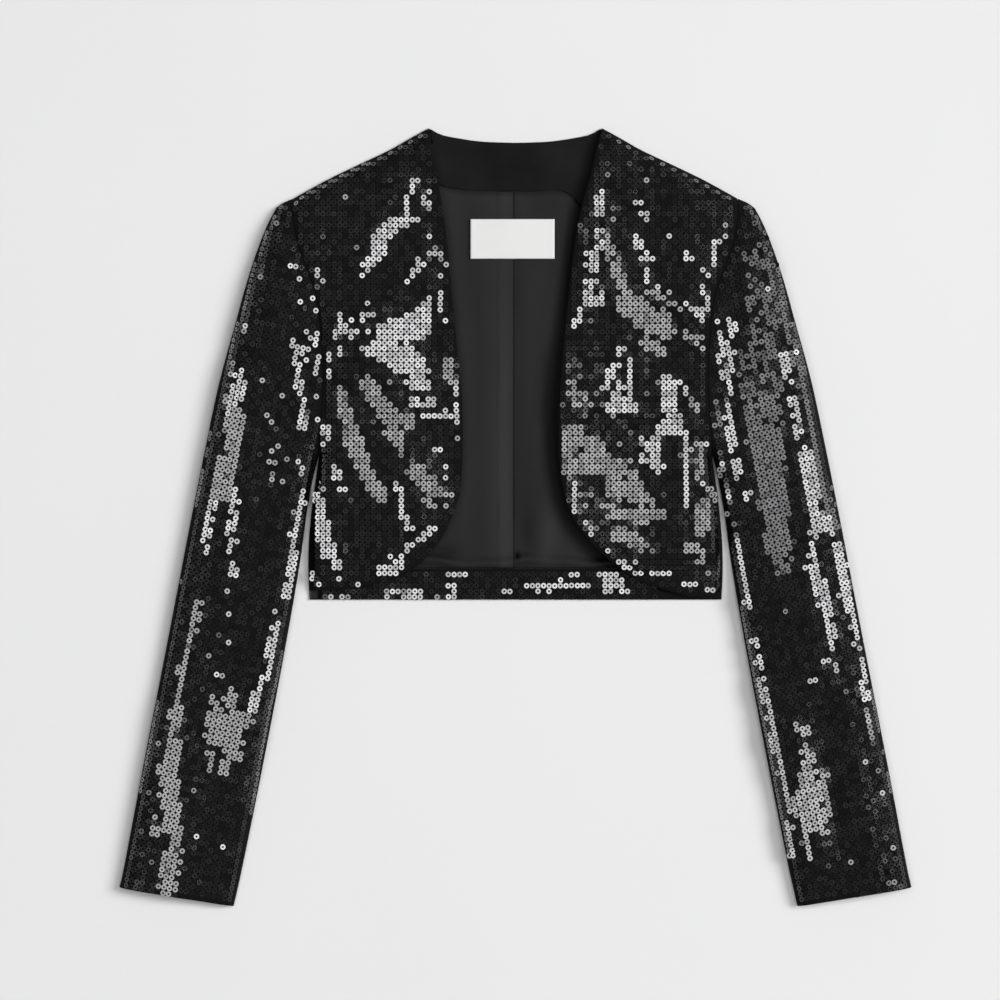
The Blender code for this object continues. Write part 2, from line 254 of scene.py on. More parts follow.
FREE_EDGE = {
    "left": (
        (NECK_HALF, NECK_TOP),
        (74, 334),
        (70.8, 323),
        (66.5, 305),
        (61.2, 287),
        (55, 261.4),
        (49.7, 226.2),
        (45.6, 191),
        (41.8, 155.8),
        (37.8, 103),
        (36.6, 72),
        (38.3, 41.4),
        (46.2, 6.2),
        (55.9, -11.4),
        (71.7, -29),
        (90.7, -44.9),
        (107.8, -56),
        (128.9, -63.3),
        (150, -69.6),
    ),
    "right": (
        (NECK_HALF, NECK_TOP),
        (74.4, 334),
        (73.8, 322),
        (69.3, 305.4),
        (66, 283),
        (61.2, 252.6),
        (58.2, 223),
        (55.4, 191),
        (50.8, 145),
        (47.2, 108),
        (46.2, 65),
        (48.6, 24),
        (54.1, 5),
        (61.5, -13),
        (72.2, -28),
        (85.4, -42.5),
        (110, -54.5),
        (134, -60.6),
        (152, -64.2),
    ),
}
FRONT_CORNER_Y = {"left": HEM_Y + 0.3, "right": HEM_Y + 8.0}
FACING_EDGE = {
    "left": (
        (0, 286.6),
        (20, 286.4),
        (38, 287.4),
        (49, 282.8),
        (60, 275),
        (74, 279),
        (97, 303),
    ),
    "right": (
        (0, 286.6),
        (14, 286.5),
        (49, 288.3),
        (66, 291.7),
        (97, 303),
    ),
}
FACING_END = ((73.0, 334.5), (78.0, 331.5), (104.0, 318.0))
HEM_SEQUINS = (
    (-171, HEM_Y),
    (128, HEM_Y),
    (128, HEM_Y + HEM_DEPTH),
    (-128, HEM_Y + HEM_DEPTH),
    (-128, -62),
    (-171, -64),
)
LINING_SHOULDER = (
    FACING_EDGE["right"][-1],
    (114, 310.5),
    (150, 293),
    (SHOULDER_HALF - INSET, 273),
)

# Heights of the crown of a sleeve and of a front, from the shoulder down
Crown = namedtuple("Crown", "y height")
SLEEVE_CROWN = (
    Crown(280, 15),
    Crown(120, 17),
    Crown(-60, 16),
    Crown(-200, 14),
    Crown(CUFF_Y, 11),
)
FRONT_CROWN = (
    Crown(NECK_TOP, 10),
    Crown(200, 10.5),
    Crown(60, 11),
    Crown(HEM_Y, 10),
)

# Unevenness: the run of a wave across and along, over 2 pi, and its height
Wave = namedtuple("Wave", "across along height")
WANDER = (Wave(6.0, 11.0, 0.15), Wave(3.1, 4.4, 0.06), Wave(1.9, 7.0, 0.03))
SLEEVE_WANDER = 0.6
PHASE = {"left": 0.4, "right": 2.9}

# The same for the neck facing and the lining, and how far from an edge each begins
FACING_WAVE, FACING_WAVE_RUN = Wave(11.0, 9.0, 0.35), 8.0
LINING_WAVE, LINING_WAVE_FROM, LINING_WAVE_RUN = Wave(9.0, 60.0, 0.25), 12.0, 20.0

# How the lining's roll over the hem wavers up and down and swings in height, each ripple's run being
# its length over 2 pi, and how far it climbs on the wearer's right
Ripple = namedtuple("Ripple", "height run phase")
ROLL_RIPPLES = (Ripple(1.6, 17.0, 0.6), Ripple(0.9, 6.1, 0.0))
ROLL_SWINGS = (Ripple(0.35, 11.0, 2.0),)
ROLL_CLIMB, ROLL_CLIMB_FROM, ROLL_CLIMB_RUN = 3.0, 60.0, 40.0

# Painted sheen and painted shade of the lining, as lighter and darker streaks and spots in its colour: the
# middle of each, its reach across and along, and its tone
PaintedStreak = namedtuple("PaintedStreak", "x y across along tone")
PAINTED_SHEEN_AND_SHADE = (
    PaintedStreak(-10, 60, 9, 190, 0.42),
    PaintedStreak(-33, 125, 7, 80, -0.12),
    PaintedStreak(12, -14, 7, 22, -0.22),
    PaintedStreak(30, -16, 9, 20, 0.24),
    PaintedStreak(2, -34, 2.2, 3.6, -0.6),
    PaintedStreak(26, 277, 16, 9, -0.16),
    PaintedStreak(-50, 250, 8, 40, 0.12),
    PaintedStreak(-62, -32, 14, 8, -0.3),
    PaintedStreak(0, 282, 60, 16, 0.14),
)
# Painted shade of the lining on the wearer's left of the pleat's edge, and how fast it fades
PLEAT_PAINTED_SHADE, PLEAT_FADE = 0.22, 7.0
# Painted shadow of the wearer's left free edge on the lining: its depth, and its width at the top and low
# down
EDGE_PAINTED_SHADOW, PAINTED_SHADOW_TOP, PAINTED_SHADOW_LOW = 0.6, 12.0, 19.0

# How steeply each sleeve falls from its ridge to its inner edge, from the shoulder down
Fall = namedtuple("Fall", "y left right")
SLEEVE_FALL = (
    Fall(260, 0.15, 0.05),
    Fall(200, 0.24, 0.06),
    Fall(80, 0.22, 0.06),
    Fall(-30, 0.18, 0.06),
    Fall(-70, 0.03, 0.06),
    Fall(-130, 0.02, 0.06),
    Fall(-165, 0, 0),
    Fall(-215, 0, 0),
    Fall(-240, 0.02, 0.05),
    Fall(CUFF_Y, 0.02, 0.05),
)
SLEEVE_RIDGE = 34.0

# Folds: where each crest starts and ends, how far it slopes down on the side of the centre front
# (near) and on the outer side (far), and its height
Fold = namedtuple("Fold", "x0 y0 x1 y1 near far height")
FOLDS = {
    "front_left": (
        Fold(86, 300, 73, 185, 12, 35, 3.2),
        Fold(98, 258, 142, 165, 44, 90, 6.2),
        Fold(81, 138, 79, 92, 120, 24, 6.8),
        Fold(130, 116, 106, 48, 48, 20, 4.4),
        Fold(106, 72, 128, -30, 70, 160, 9.5),
        Fold(145, 80, 147, 10, 15, 5, 0.6),
    ),
    "front_right": (
        Fold(103, 292, 139, 222, 17, 70, 3.8),
        Fold(133, 172, 106, 103, 46, 75, 8),
        Fold(158, 172, 148, 165, 20, 20, 3.4),
        Fold(118, 118, 98, 70, 60, 12, 1.7),
        Fold(152, 118, 117, 20, 50, 14, 1.7),
        Fold(92, 44, 84, 3, 32, 50, 3.6),
        Fold(56, 140, 54, 90, 5, 40, 1.2),
        Fold(84, 290, 78, 205, 8, 40, 1.2),
        Fold(124, -32, 118, -46, 16, 200, 2.2),
    ),
    "sleeve_left": (
        Fold(206, 250, 231, 172, 40, 24, 3.2),
        Fold(302, -160, 334, -330, 40, 24, 3.2),
        Fold(249, -185, 262, -290, 40, 20, 3.2),
        Fold(281, -30, 300, -130, 12, 12, 1),
    ),
    "sleeve_right": (
        Fold(206, 250, 231, 172, 40, 24, 3.2),
        Fold(234, 135, 253, 15, 30, 20, 2.6),
        Fold(302, -170, 334, -330, 40, 24, 3),
        Fold(286, -175, 299, -330, 26, 16, 3),
        Fold(228, -162, 236, -212, 20, 34, 2),
    ),
}

# Small dimples, in which the sequins lean and catch a light. Each group has its panel and how steeply
# its sequins climb outward, and its rows have the columns of Lean: a line along the middle of a
# dimple, its half width, and the share of its sequins that lean.
Lean = namedtuple("Lean", "x0 y0 x1 y1 half_width share", defaults=(1.0,))
LEANS = {}
LEANS["front_left", -0.163] = (
    (73, 285, 73, 266, 4.5, 0.9),
    (65, 255, 77, 250, 3.0, 0.7),
    (73, 247, 73, 232, 2.5),
    (67, 231, 67, 219, 5.5),
    (64, 205, 65, 187, 5.0),
    (73, 217, 74, 187, 2.5, 0.8),
    (63, 187, 77, 187, 2.6),
    (57, 179, 50, 166, 3.0),
    (106, 275, 115, 264, 3.6, 0.9),
    (126, 258, 139, 244, 2.6, 0.5),
    (105, 245, 115, 226, 5.0, 0.4),
    (112, 214, 122, 201, 5.0, 0.5),
    (149, 230, 155, 221, 2.6, 0.7),
    (184, 248, 176, 241, 2.6),
    (175, 241, 174, 220, 2.8),
    (171, 212, 163, 194, 5.5, 0.5),
    (151, 187, 164, 176, 5.0, 0.5),
    (167, 186, 165, 170, 2.6),
    (90, 147, 94, 146, 3.6),
    (98, 138, 101, 106, 3.3),
    (88, 134, 77, 112, 3.3),
    (91, 115, 90, 106, 5.0),
    (87, 96, 98, 97, 7.5),
    (132, 118, 136, 90, 7.0),
    (142, 118, 150, 109, 4.0, 0.8),
    (128, 84, 143, 80, 3.0, 0.8),
    (126, 76, 144, 76, 3.6),
    (148, 74, 150, 56, 3.3),
    (149, 53, 149, 9, 2.6),
    (120, 66, 123, 45, 6.2),
    (109, 67, 112, 48, 3.6, 0.5),
    (79, -32, 83, -40, 3.4),
    (88, -37, 97, -43, 3.2),
    (107, -41, 108, -50, 2.8),
    (121, -48, 133, -50, 2.8),
    (145, -57, 160, -61, 2.6, 0.6),
    (169, -61, 174, -65, 2.6),
    (52, 27, 53, 7, 3.0),
    (61, -4, 66, -13, 3.4),
)
LEANS["front_left", 0.172] = (
    (82, 246, 83, 230, 2.8),
    (85, 228, 93, 203, 5.5, 0.9),
    (98, 188, 126, 174, 10.5),
    (111, 171, 135, 162, 7.0),
    (114, 153, 127, 147, 5.5, 0.9),
    (112, 196, 126, 195, 4.5, 0.8),
    (134, 200, 141, 182, 5.0, 0.4),
    (152, 160, 166, 150, 5.2, 0.9),
    (155, 106, 159, 93, 4.0, 0.8),
    (161, 59, 160, 33, 2.8),
    (48, 120, 54, 100, 5.0, 0.8),
    (61, 107, 63, 96, 3.6, 0.7),
    (50, 74, 48, 42, 8.0),
    (55, 66, 71, 60, 10.0, 0.94),
    (53, 46, 79, 45, 9.5, 0.94),
    (78, 46, 99, 38, 9.5, 0.93),
    (103, 30, 121, 4, 5.4, 0.75),
    (84, 24, 104, 21, 8.0),
    (86, 4, 114, 0, 6.0),
    (91, -15, 110, -24, 6.5),
    (63, 10, 79, 9, 3.0, 0.8),
    (120, 10, 130, 0, 4.0, 0.4),
    (170, 24, 174, 18, 3.0),
    (164, 12, 163, -13, 6.0),
    (153, -29, 162, -34, 6.5),
)
LEANS["front_left", 0.03] = (
    (68, 31, 75, 28, 4.0),
    (95, 12, 110, 10, 2.6, 0.7),
    (118, 186, 122, 184, 3.0),
)
LEANS["front_right", 0.226] = (
    (87, 296, 97, 276, 2.6),
    (97, 276, 97, 261, 2.8),
    (78, 288, 78, 277, 2.6),
    (74, 274, 84, 274, 2.6, 0.8),
    (90, 262, 106, 254, 4.2),
    (109, 258, 122, 238, 7.0),
    (116, 234, 130, 221, 5.2),
    (134, 212, 133, 210, 2.6),
    (84, 222, 94, 206, 2.8),
    (72, 234, 75, 231, 4.2),
    (62, 220, 70, 206, 2.8, 0.8),
    (66, 196, 65, 174, 3.8, 0.6),
    (52, 119, 49, 84, 2.8),
    (114, 162, 87, 172, 9.5),
    (118, 148, 93, 140, 11.0),
    (101, 158, 84, 157, 3.6, 0.95),
    (103, 132, 84, 127, 7.5),
    (95, 118, 77, 114, 5.2),
    (92, 101, 71, 100, 4.2),
    (78, 90, 60, 91, 3.4),
    (94, 177, 77, 189, 3.8),
    (80, 182, 81, 160, 6.0),
    (156, 160, 130, 164, 3.4, 0.7),
    (147, 172, 131, 180, 7.5, 0.55),
    (131, 148, 128, 146, 5.0),
    (174, 222, 174, 214, 4.0, 0.7),
    (166, 138, 155, 144, 4.6, 0.8),
    (168, 129, 163, 125, 3.6),
    (165, 88, 167, 66, 3.4, 0.8),
    (157, 43, 153, 26, 4.0, 0.6),
    (106, 30, 100, 22, 3.0),
    (100, 22, 100, 6, 2.8),
    (99, 4, 92, -9, 2.8),
    (70, -8, 87, -22, 3.2),
    (88, -22, 103, -38, 3.8, 0.9),
    (102, -44, 118, -48, 4.2),
    (172, 18, 170, -11, 3.4),
    (168, -8, 165, -32, 6.5),
    (162, -32, 156, -43, 4.6),
    (178, -50, 175, -60, 3.0, 0.7),
    (156, -57, 132, -63, 4.0, 0.4),
    (74, 59, 60, 56, 3.4, 0.7),
    (60, 53, 59, 28, 3.0, 0.3),
)
LEANS["front_right", -0.11] = (
    (69, 236, 63, 222, 2.8),
    (59, 138, 58, 122, 4.4),
    (129, 116, 115, 92, 7.4),
    (115, 90, 94, 84, 6.0),
    (109, 77, 102, 64, 6.4),
    (153, 109, 147, 80, 5.2),
    (145, 74, 134, 45, 8.0),
    (132, 41, 118, 18, 6.6),
    (87, 39, 77, 27, 8.0),
    (77, 24, 60, 20, 5.0, 0.9),
    (78, 12, 64, 9, 4.0, 0.6),
)
LEANS["sleeve_left", -0.145] = (
    (188, 170, 191, 161, 2.6),
    (187, 158, 189, 140, 2.8),
    (187, 134, 188, 108, 3.4),
    (185, 104, 191, 58, 3.2),
    (193, 49, 196, 33, 3.0),
    (203, 24, 203, 15, 3.0),
    (179, 175, 181, 124, 3.0, 0.7),
    (234, 141, 240, 119, 3.2),
    (243, 104, 247, 88, 4.8),
    (245, 82, 250, 64, 4.6, 0.9),
    (254, 57, 261, 10, 6.5),
    (262, 8, 266, -13, 6.5, 0.85),
    (259, -16, 263, -57, 3.6, 0.9),
    (267, -60, 272, -84, 6.0, 0.95),
    (275, -86, 277, -114, 4.6, 0.85),
    (273, -128, 281, -131, 4.5, 0.7),
    (254, -138, 260, -143, 3.4, 0.8),
    (276, -2, 280, -28, 3.6, 0.8),
    (282, -27, 288, -62, 5.6),
    (290, -66, 293, -84, 3.2),
    (296, -95, 299, -116, 3.4, 0.8),
    (302, -124, 307, -158, 3.0, 0.6),
    (195, -22, 205, -80, 2.9),
    (209, -108, 214, -133, 2.9, 0.9),
)
LEANS["sleeve_left", -0.15] = (
    (215, -142, 241, -258, 2.9),
    (240, -270, 244, -297, 3.4),
    (256, -228, 262, -246, 8.0, 0.95),
    (247, -248, 268, -244, 7.0),
    (250, -258, 268, -262, 8.0),
    (258, -272, 268, -274, 6.0),
    (256, -280, 258, -300, 3.0),
    (246, -184, 254, -188, 4.6, 0.9),
    (250, -193, 259, -222, 5.4, 0.7),
    (271, -228, 274, -262, 3.6, 0.7),
    (261, -336, 278, -336, 2.6, 0.8),
)
LEANS["sleeve_left", 0.2] = (
    (215, 108, 220, 64, 17.0, 0.8),
    (220, 62, 226, 18, 14.0, 0.95),
    (226, 16, 230, -24, 11.5),
    (231, -26, 235, -46, 8.0, 0.9),
    (177, 99, 178, 81, 3.4),
    (179, 43, 193, -14, 2.8, 0.6),
    (222, 215, 229, 172, 3.0, 0.7),
    (233, 190, 250, 119, 2.7),
    (250, 119, 262, 60, 2.7),
    (262, 60, 280, -10, 2.7),
    (323, -308, 328, -323, 3.0, 0.6),
)
LEANS["sleeve_left", 0.225] = (
    (214, 232, 218, 165, 15.0, 0.7),
    (204, 160, 205, 112, 8.0, 0.9),
    (222, 160, 227, 112, 6.5, 0.9),
    (212, 150, 216, 108, 6.0, 0.5),
)
LEANS["sleeve_right", 0.26] = (
    (195, 222, 192, 206, 3.0, 0.6),
    (190, 191, 185, 185, 3.0, 0.8),
    (179, 207, 177, 190, 3.0, 0.8),
    (195, 155, 191, 132, 3.0),
    (191, 132, 188, 108, 3.2),
    (184, 160, 184, 137, 2.8, 0.7),
    (174, 181, 173, 122, 2.8),
    (187, 99, 188, 78, 3.8),
    (171, 107, 171, 80, 2.8, 0.8),
    (187, 59, 187, 40, 3.0, 0.7),
    (187, 24, 195, -22, 2.9),
    (195, -25, 201, -68, 3.4),
    (209, -77, 209, -88, 2.6),
    (210, -95, 219, -142, 3.4),
    (222, -144, 236, -182, 4.0),
    (240, 126, 248, 90, 4.8, 0.9),
    (246, 84, 250, 50, 8.0, 0.5),
    (254, 47, 257, 22, 9.0, 0.6),
    (264, 20, 272, -31, 4.0, 0.7),
    (244, 22, 247, -1, 4.2, 0.7),
    (250, -7, 246, -25, 4.2, 0.7),
    (252, -28, 247, -48, 4.5, 0.6),
    (252, -62, 253, -122, 2.8, 0.5),
    (260, -136, 253, -140, 3.0, 0.8),
)
LEANS["sleeve_right", -0.083] = (
    (244, 88, 250, 50, 8.5),
    (251, 48, 257, 22, 10.0),
    (278, -73, 289, -124, 3.8),
    (292, -130, 296, -160, 3.8),
    (296, -171, 301, -218, 6.2),
    (304, -222, 301, -268, 9.5),
    (299, -272, 297, -292, 5.2),
    (302, -298, 305, -325, 8.5, 0.9),
    (318, -262, 316, -277, 3.0, 0.6),
    (267, -158, 262, -168, 3.8, 0.9),
    (250, -156, 249, -166, 5.6),
    (263, -178, 240, -178, 9.0),
    (265, -194, 245, -196, 8.0),
    (253, -203, 246, -209, 5.5, 0.9),
    (267, -209, 268, -219, 3.2),
    (257, -212, 256, -224, 4.2),
    (211, 104, 207, 34, 9.0, 0.12),
)
LEANS["hem", -0.195] = (
    (-172, -69, -146, -69, 2.6, 0.7),
    (-116, -69, -84, -68, 4.0, 0.8),
    (-58, -50, -45, -50, 4.6),
    (-58, -60, -53, -62, 4.0, 0.8),
    (-65, -70, -52, -70, 2.6, 0.5),
    (-11, -65, -3, -65, 2.6),
    (9, -62, 33, -62, 3.2, 0.9),
    (48, -46, 62, -50, 3.6, 0.9),
    (36, -58, 62, -61, 2.8),
    (78, -46, 81, -64, 4.6),
    (87, -52, 96, -64, 3.8, 0.9),
)

# Where no dimple is, the sequins' climb outward stays between these, except where the cloth is steep
CALM = {
    "front_left": (-0.05, 0.08),
    "front_right": (0.0, 0.11),
    "sleeve_left": (-0.035, 0.075),
    "sleeve_right": (0.02, 0.13),
    "hem": (-0.08, 0.08),
}
STEEP, STEEP_RUN = 0.42, 0.12
EVEN = 0.08

# Climbs that would catch the key light, from the least to the steepest
GLARE = (0.32, 0.74)

# Tones of the sequins, from dark to light, which differ at random, and those of some dimples, painted to
# set how bright their glints look: painted highlight and painted shade
TONE = (0.3, 1.0)
PAINTED_GLINT_TONE = {
    ("sleeve_left", -0.15): (0.1, 0.6),
    ("sleeve_left", 0.2): (0.0, 0.3),
    ("sleeve_left", 0.225): (0.0, 0.2),
    ("sleeve_right", -0.083): (0.5, 0.9),
}

# How uneven the dimples' edges are, and the share of stray sequins and how far these tilt
RAGGED = 0.7
STRAY, STRAY_TILT = 0.012, 0.13
SEED = 11


def smooth(rows, count):
    """Points at even steps along a smooth curve through the rows."""
    knots = np.array(rows, float)
    chord = np.linalg.norm(np.diff(knots, axis=0), axis=1) ** 0.5
    place = np.concatenate([[0.0], np.cumsum(chord)])
    slopes = np.gradient(knots, place, axis=0)
    fine = np.linspace(0.0, place[-1], 400)
    i = np.clip(np.searchsorted(place, fine, side="right") - 1, 0, len(chord) - 1)
    step = chord[i][:, None]
    u = (fine - place[i])[:, None] / step
    line = (
        knots[i] * (1 + 2 * u) * (1 - u) ** 2
        + slopes[i] * step * u * (1 - u) ** 2
        + knots[i + 1] * u**2 * (3 - 2 * u)
        + slopes[i + 1] * step * u**2 * (u - 1)
    )
    return spaced(line, np.linspace(0.0, 1.0, count))


def spaced(line, shares):
    """Points of a line at the given shares of its length."""
    steps = np.linalg.norm(np.diff(line, axis=0), axis=1)
    run = np.concatenate([[0.0], np.cumsum(steps)])
    return np.stack([np.interp(shares * run[-1], run, line[:, k]) for k in (0, 1)], axis=1)


def joined(*lines):
    """One line from several that meet end to end."""
    return np.concatenate([lines[0]] + [line[1:] for line in lines[1:]])


def shifted(line, x, y=0.0):
    return line + np.array([x, y])


def reach(x, y, line):
    """Distance from each point to a line."""
    best = np.full(np.shape(x), np.inf)
    for (ax, ay), (bx, by) in zip(line[:-1], line[1:]):
        dx, dy = bx - ax, by - ay
        t = np.clip(((x - ax) * dx + (y - ay) * dy) / (dx * dx + dy * dy), 0, 1)
        best = np.minimum(best, np.hypot(x - ax - t * dx, y - ay - t * dy))
    return best


def rise(d, width):
    """0 at an edge, rising steeply and then levelling towards 1."""
    return 1 - np.exp(-np.maximum(d, 0) / width)


def ramp(d, width):
    """0 at an edge and 1 past width, with a soft start and end."""
    u = np.clip(d / width, 0, 1)
    return u * u * (3 - 2 * u)


def turn(d, radius):
    """0 at an edge and 1 past radius, round as a folded edge is."""
    u = 1 - np.clip(d / radius, 0, 1)
    return np.sqrt(1 - u * u)


def mix(a, b, share):
    return a + (b - a) * share


def column_at(y, rows, column):
    """A column's value at y, from rows that go down from the shoulder."""
    return np.interp(y, [r.y for r in reversed(rows)], [getattr(r, column) for r in reversed(rows)])


def corner(side):
    return np.array([[HEM_HALF - SEAM / 2, FRONT_CORNER_Y[side]]])


LINES = {
    "over": joined(smooth(SHOULDER_LINE, 30), smooth(CAP_LINE, 6), smooth(SLEEVE_OUTER, 50)),
    "armhole": smooth(ARMHOLE, 40),
    "inner": smooth(SLEEVE_INNER, 40),
    "side": smooth(SIDE_SEAM, 20),
    "left": smooth(FREE_EDGE["left"], 60),
    "right": smooth(FREE_EDGE["right"], 60),
}
LINES["body"] = joined(LINES["armhole"], LINES["side"])
LINES["cuff"] = np.stack([LINES["inner"][-1], LINES["over"][-1]])
for side in SIDES:
    LINES["edge_" + side] = np.concatenate([LINES[side], corner(side)])


def soft(value):
    """A value's size without its sign, rounded where it passes 0."""
    return np.sqrt(value * value + CREST * CREST)


def fold_height(x, y, folds, end=END):
    """Sum of the long soft ridges and troughs."""
    total = np.zeros(np.shape(x))
    for f in folds:
        dx, dy = f.x1 - f.x0, f.y1 - f.y0
        length = np.hypot(dx, dy)
        along = ((x - f.x0) * dx + (y - f.y0) * dy) / length
        across = ((y - f.y0) * dx - (x - f.x0) * dy) / length
        past = np.maximum(np.maximum(-along, along - length), 0)
        tent = soft(across + f.near) / f.near + soft(f.far - across) / f.far
        tent = tent - soft(across) * (1 / f.near + 1 / f.far)
        total += f.height * tent / 2 * np.exp(-((past / end) ** 2) / 2)
    return total


def leaning(plan, climb, panel, rng):
    """Each sequin's climb outward, which is its dimple's or calmer than the cloth's, and its tone, painted
    in some dimples to set how bright their glints look.
    """
    x, y = plan[:, 0], plan[:, 1]
    tone = rng.uniform(*TONE, len(x))
    climb = mix(np.clip(climb, *CALM[panel]), climb, ramp(np.abs(climb) - STEEP, STEEP_RUN))
    for (place, dimple), rows in LEANS.items():
        if place != panel:
            continue
        for row in rows:
            p = Lean(*row)
            line = np.array([[p.x0, p.y0], [p.x1, p.y1]], float)
            away = reach(x, y, line) + rng.normal(0.0, RAGGED, len(x))
            inside = (away < p.half_width) & (rng.random(len(x)) < p.share)
            climb = np.where(inside, dimple, climb)
            # In some dimples the tone is painted to set how bright the glints look, as painted highlight
            # and painted shade
            if (panel, dimple) in PAINTED_GLINT_TONE:
                tone = np.where(inside, rng.uniform(*PAINTED_GLINT_TONE[panel, dimple], len(x)), tone)
    stray = rng.random(len(x)) < STRAY
    return np.where(stray, climb + rng.normal(0.0, STRAY_TILT, len(x)), climb), tone


def wander(x, y, start):
    """A slight unevenness of the cloth, a few tenths of a millimetre high."""
    total = np.zeros(np.shape(x))
    for i, w in enumerate(WANDER):
        phase = start + 1.7 * i
        bend = 1.3 * np.sin(y / (1.9 * w.along) + phase) + 0.8 * np.sin(x / (2.3 * w.across) - phase)
        total += w.height * np.sin(x / w.across + bend) * np.sin(y / w.along - bend + phase)
    return total


def seamed(height, edge, seam, open_edge):
    """A panel's height with its groove at the armhole, its rolled open edge and its folded edges."""
    inside = ramp(edge, GROOVE_RUN)
    height = height - GROOVE * np.exp(-((seam / GROOVE_WIDTH) ** 2)) * inside
    height = height - EDGE_ROLL * (1 - turn(open_edge, EDGE_TURN)) * inside
    return mix(FOLD_MID, height, turn(edge, TURN))


def sleeve_height(x, y, side):
    """Height of a top sleeve's outer surface: it meets the front's at the armhole seam."""
    over = reach(x, y, LINES["over"])
    inner = reach(x, y, LINES["inner"])
    seam = reach(x, y, LINES["armhole"])
    edge = np.minimum(over, inner)
    away = rise(seam, SEAM_REACH)
    past = (soft(over - SLEEVE_RIDGE) + over - SLEEVE_RIDGE) / 2
    ridge = column_at(y, SLEEVE_CROWN, "height") - column_at(y, SLEEVE_FALL, side) * past
    crown = mix(SEAM_CROWN, ridge, away)
    round_over = rise(over, mix(SEAM_OVER, SLEEVE_OVER, away))
    round_over = mix(round_over, turn(over, ROUND), ROUND_SHARE * away)
    body = round_over * rise(inner, mix(SEAM_SIDE, SLEEVE_SIDE, away))
    lift = OVER_LINING * ramp(edge, LIFT_RUN) * np.exp(-seam / LIFT_FADE)
    folds = fold_height(x, y, FOLDS["sleeve_" + side]) * ramp(seam, SLEEVE_FADE)
    folds = folds * rise(over, SEAM_SIDE) * rise(inner, SLEEVE_SIDE)
    uneven = wander(x, y, PHASE[side] + 1.0) * SLEEVE_WANDER * ramp(edge, GROOVE_RUN)
    return seamed(RIM + lift + crown * body + folds + uneven, edge, seam, reach(x, y, LINES["cuff"]))


def front_height(x, y, side):
    """Height of a front's outer surface, from its seams to its free edge."""
    over = reach(x, y, LINES["over"])
    outer = reach(x, y, LINES["side"])
    seam = reach(x, y, LINES["armhole"])
    free = reach(x, y, LINES["edge_" + side])
    edge = np.minimum(over, outer)
    away = rise(seam, SEAM_REACH)
    swell = mix(EDGE_LIFT, column_at(y, FRONT_CROWN, "height"), ramp(free, FREE_REACH))
    crown = mix(SEAM_CROWN, swell, away)
    low = mix(HEM_SHARE, 1.0, rise(y - HEM_Y, HEM_REACH))
    body = rise(over, mix(SEAM_OVER, FRONT_OVER, away)) * rise(outer, SEAM_SIDE) * low
    lift = OVER_LINING * ramp(edge, LIFT_RUN)
    folds = fold_height(x, y, FOLDS["front_" + side]) * ramp(seam, FRONT_FADE) * low
    folds = folds * rise(over, SEAM_SIDE) * rise(outer, SEAM_SIDE)
    uneven = wander(x, y, PHASE[side]) * ramp(edge, GROOVE_RUN)
    return seamed(RIM + lift + crown * body + folds + uneven, edge, seam, free)


def under_height(x, y, lines):
    """Height of a lower layer's outer surface, which is flat but for its folded edges."""
    edge = np.min([reach(x, y, line) for line in lines], axis=0)
    return mix(FOLD_MID, UNDER, turn(edge, TURN))


def rippled(x, ripples):
    return sum(r.height * np.sin(x / r.run + r.phase) for r in ripples)


def lining_height(x, y, side):
    """Top of the back lining: the wearer's right half lies over the left at the pleat."""
    place = x if side == "left" else -x
    waver = rippled(place, ROLL_RIPPLES) + ROLL_CLIMB * ramp(-place - ROLL_CLIMB_FROM, ROLL_CLIMB_RUN)
    from_roll = y - HEM_Y - HEM_DEPTH - ROLL_UP - waver
    swing = 1.0 + rippled(place, ROLL_SWINGS)
    height = INSIDE + LINING + ROLL * swing * np.exp(-((from_roll / ROLL_WIDTH) ** 2))
    if side == "right":
        height = height + PLEAT_STEP * ramp(PLEAT + PLEAT_RUN - x, STEP_RUN)
    return height


def sheen_at(x, y):
    """How much lighter or darker than its middle tone the lining is painted, as painted sheen and painted
    shade; x runs to the wearer's left.
    """
    total = 0.0
    for s in PAINTED_SHEEN_AND_SHADE:
        total = total + s.tone * np.exp(-(((x - s.x) / s.across) ** 2) - ((y - s.y) / s.along) ** 2)
    # Painted shade on the wearer's left of the pleat's edge
    total = np.where(x < PLEAT_EDGE, total, total - PLEAT_PAINTED_SHADE * np.exp(-np.abs(x - PLEAT_EDGE) / PLEAT_FADE))
    # Painted shadow along the wearer's left free edge, wider low down
    width = mix(PAINTED_SHADOW_TOP, PAINTED_SHADOW_LOW, ramp(220.0 - y, 120.0))
    return total - EDGE_PAINTED_SHADOW * (1 - ramp(reach(x, y, LINES["left"]), width))


def label_height(x):
    """Top of the label, which follows the lining down the pleat's step; x runs to the wearer's left."""
    near, far = LABEL_LEFT + LABEL_RIM, LABEL_RIGHT - LABEL_RIM
    step = ramp(x - near, LABEL_SPAN) * ramp(far - x, LABEL_SPAN)
    return INSIDE + LINING + GAP + LABEL + PLEAT_STEP * mix(LABEL_LIFT, 1.0, step)


def patch(left, right, bottom, top, u, v):
    """Points of a Coons patch between four edges; u runs from left to right and v from bottom to top."""
    low, high = spaced(bottom, u), spaced(top, u)
    near, far = spaced(left, v), spaced(right, v)
    a, b = u[None, :, None], v[:, None, None]
    across = near[:, None] * (1 - a) + far[:, None] * a
    along = low[None] * (1 - b) + high[None] * b
    corners = (
        near[0] * (1 - a) * (1 - b) + far[0] * a * (1 - b) + near[-1] * (1 - a) * b + far[-1] * a * b
    )
    return across + along - corners


def shares(count, first, last):
    """Shares from 0 to 1 with three close steps inside each end that rolls."""
    close = np.array([0.0, 0.15, 0.45])
    inside = np.linspace(first, 1 - last, count)
    return np.concatenate([close * first, inside, 1 - close[::-1] * last])


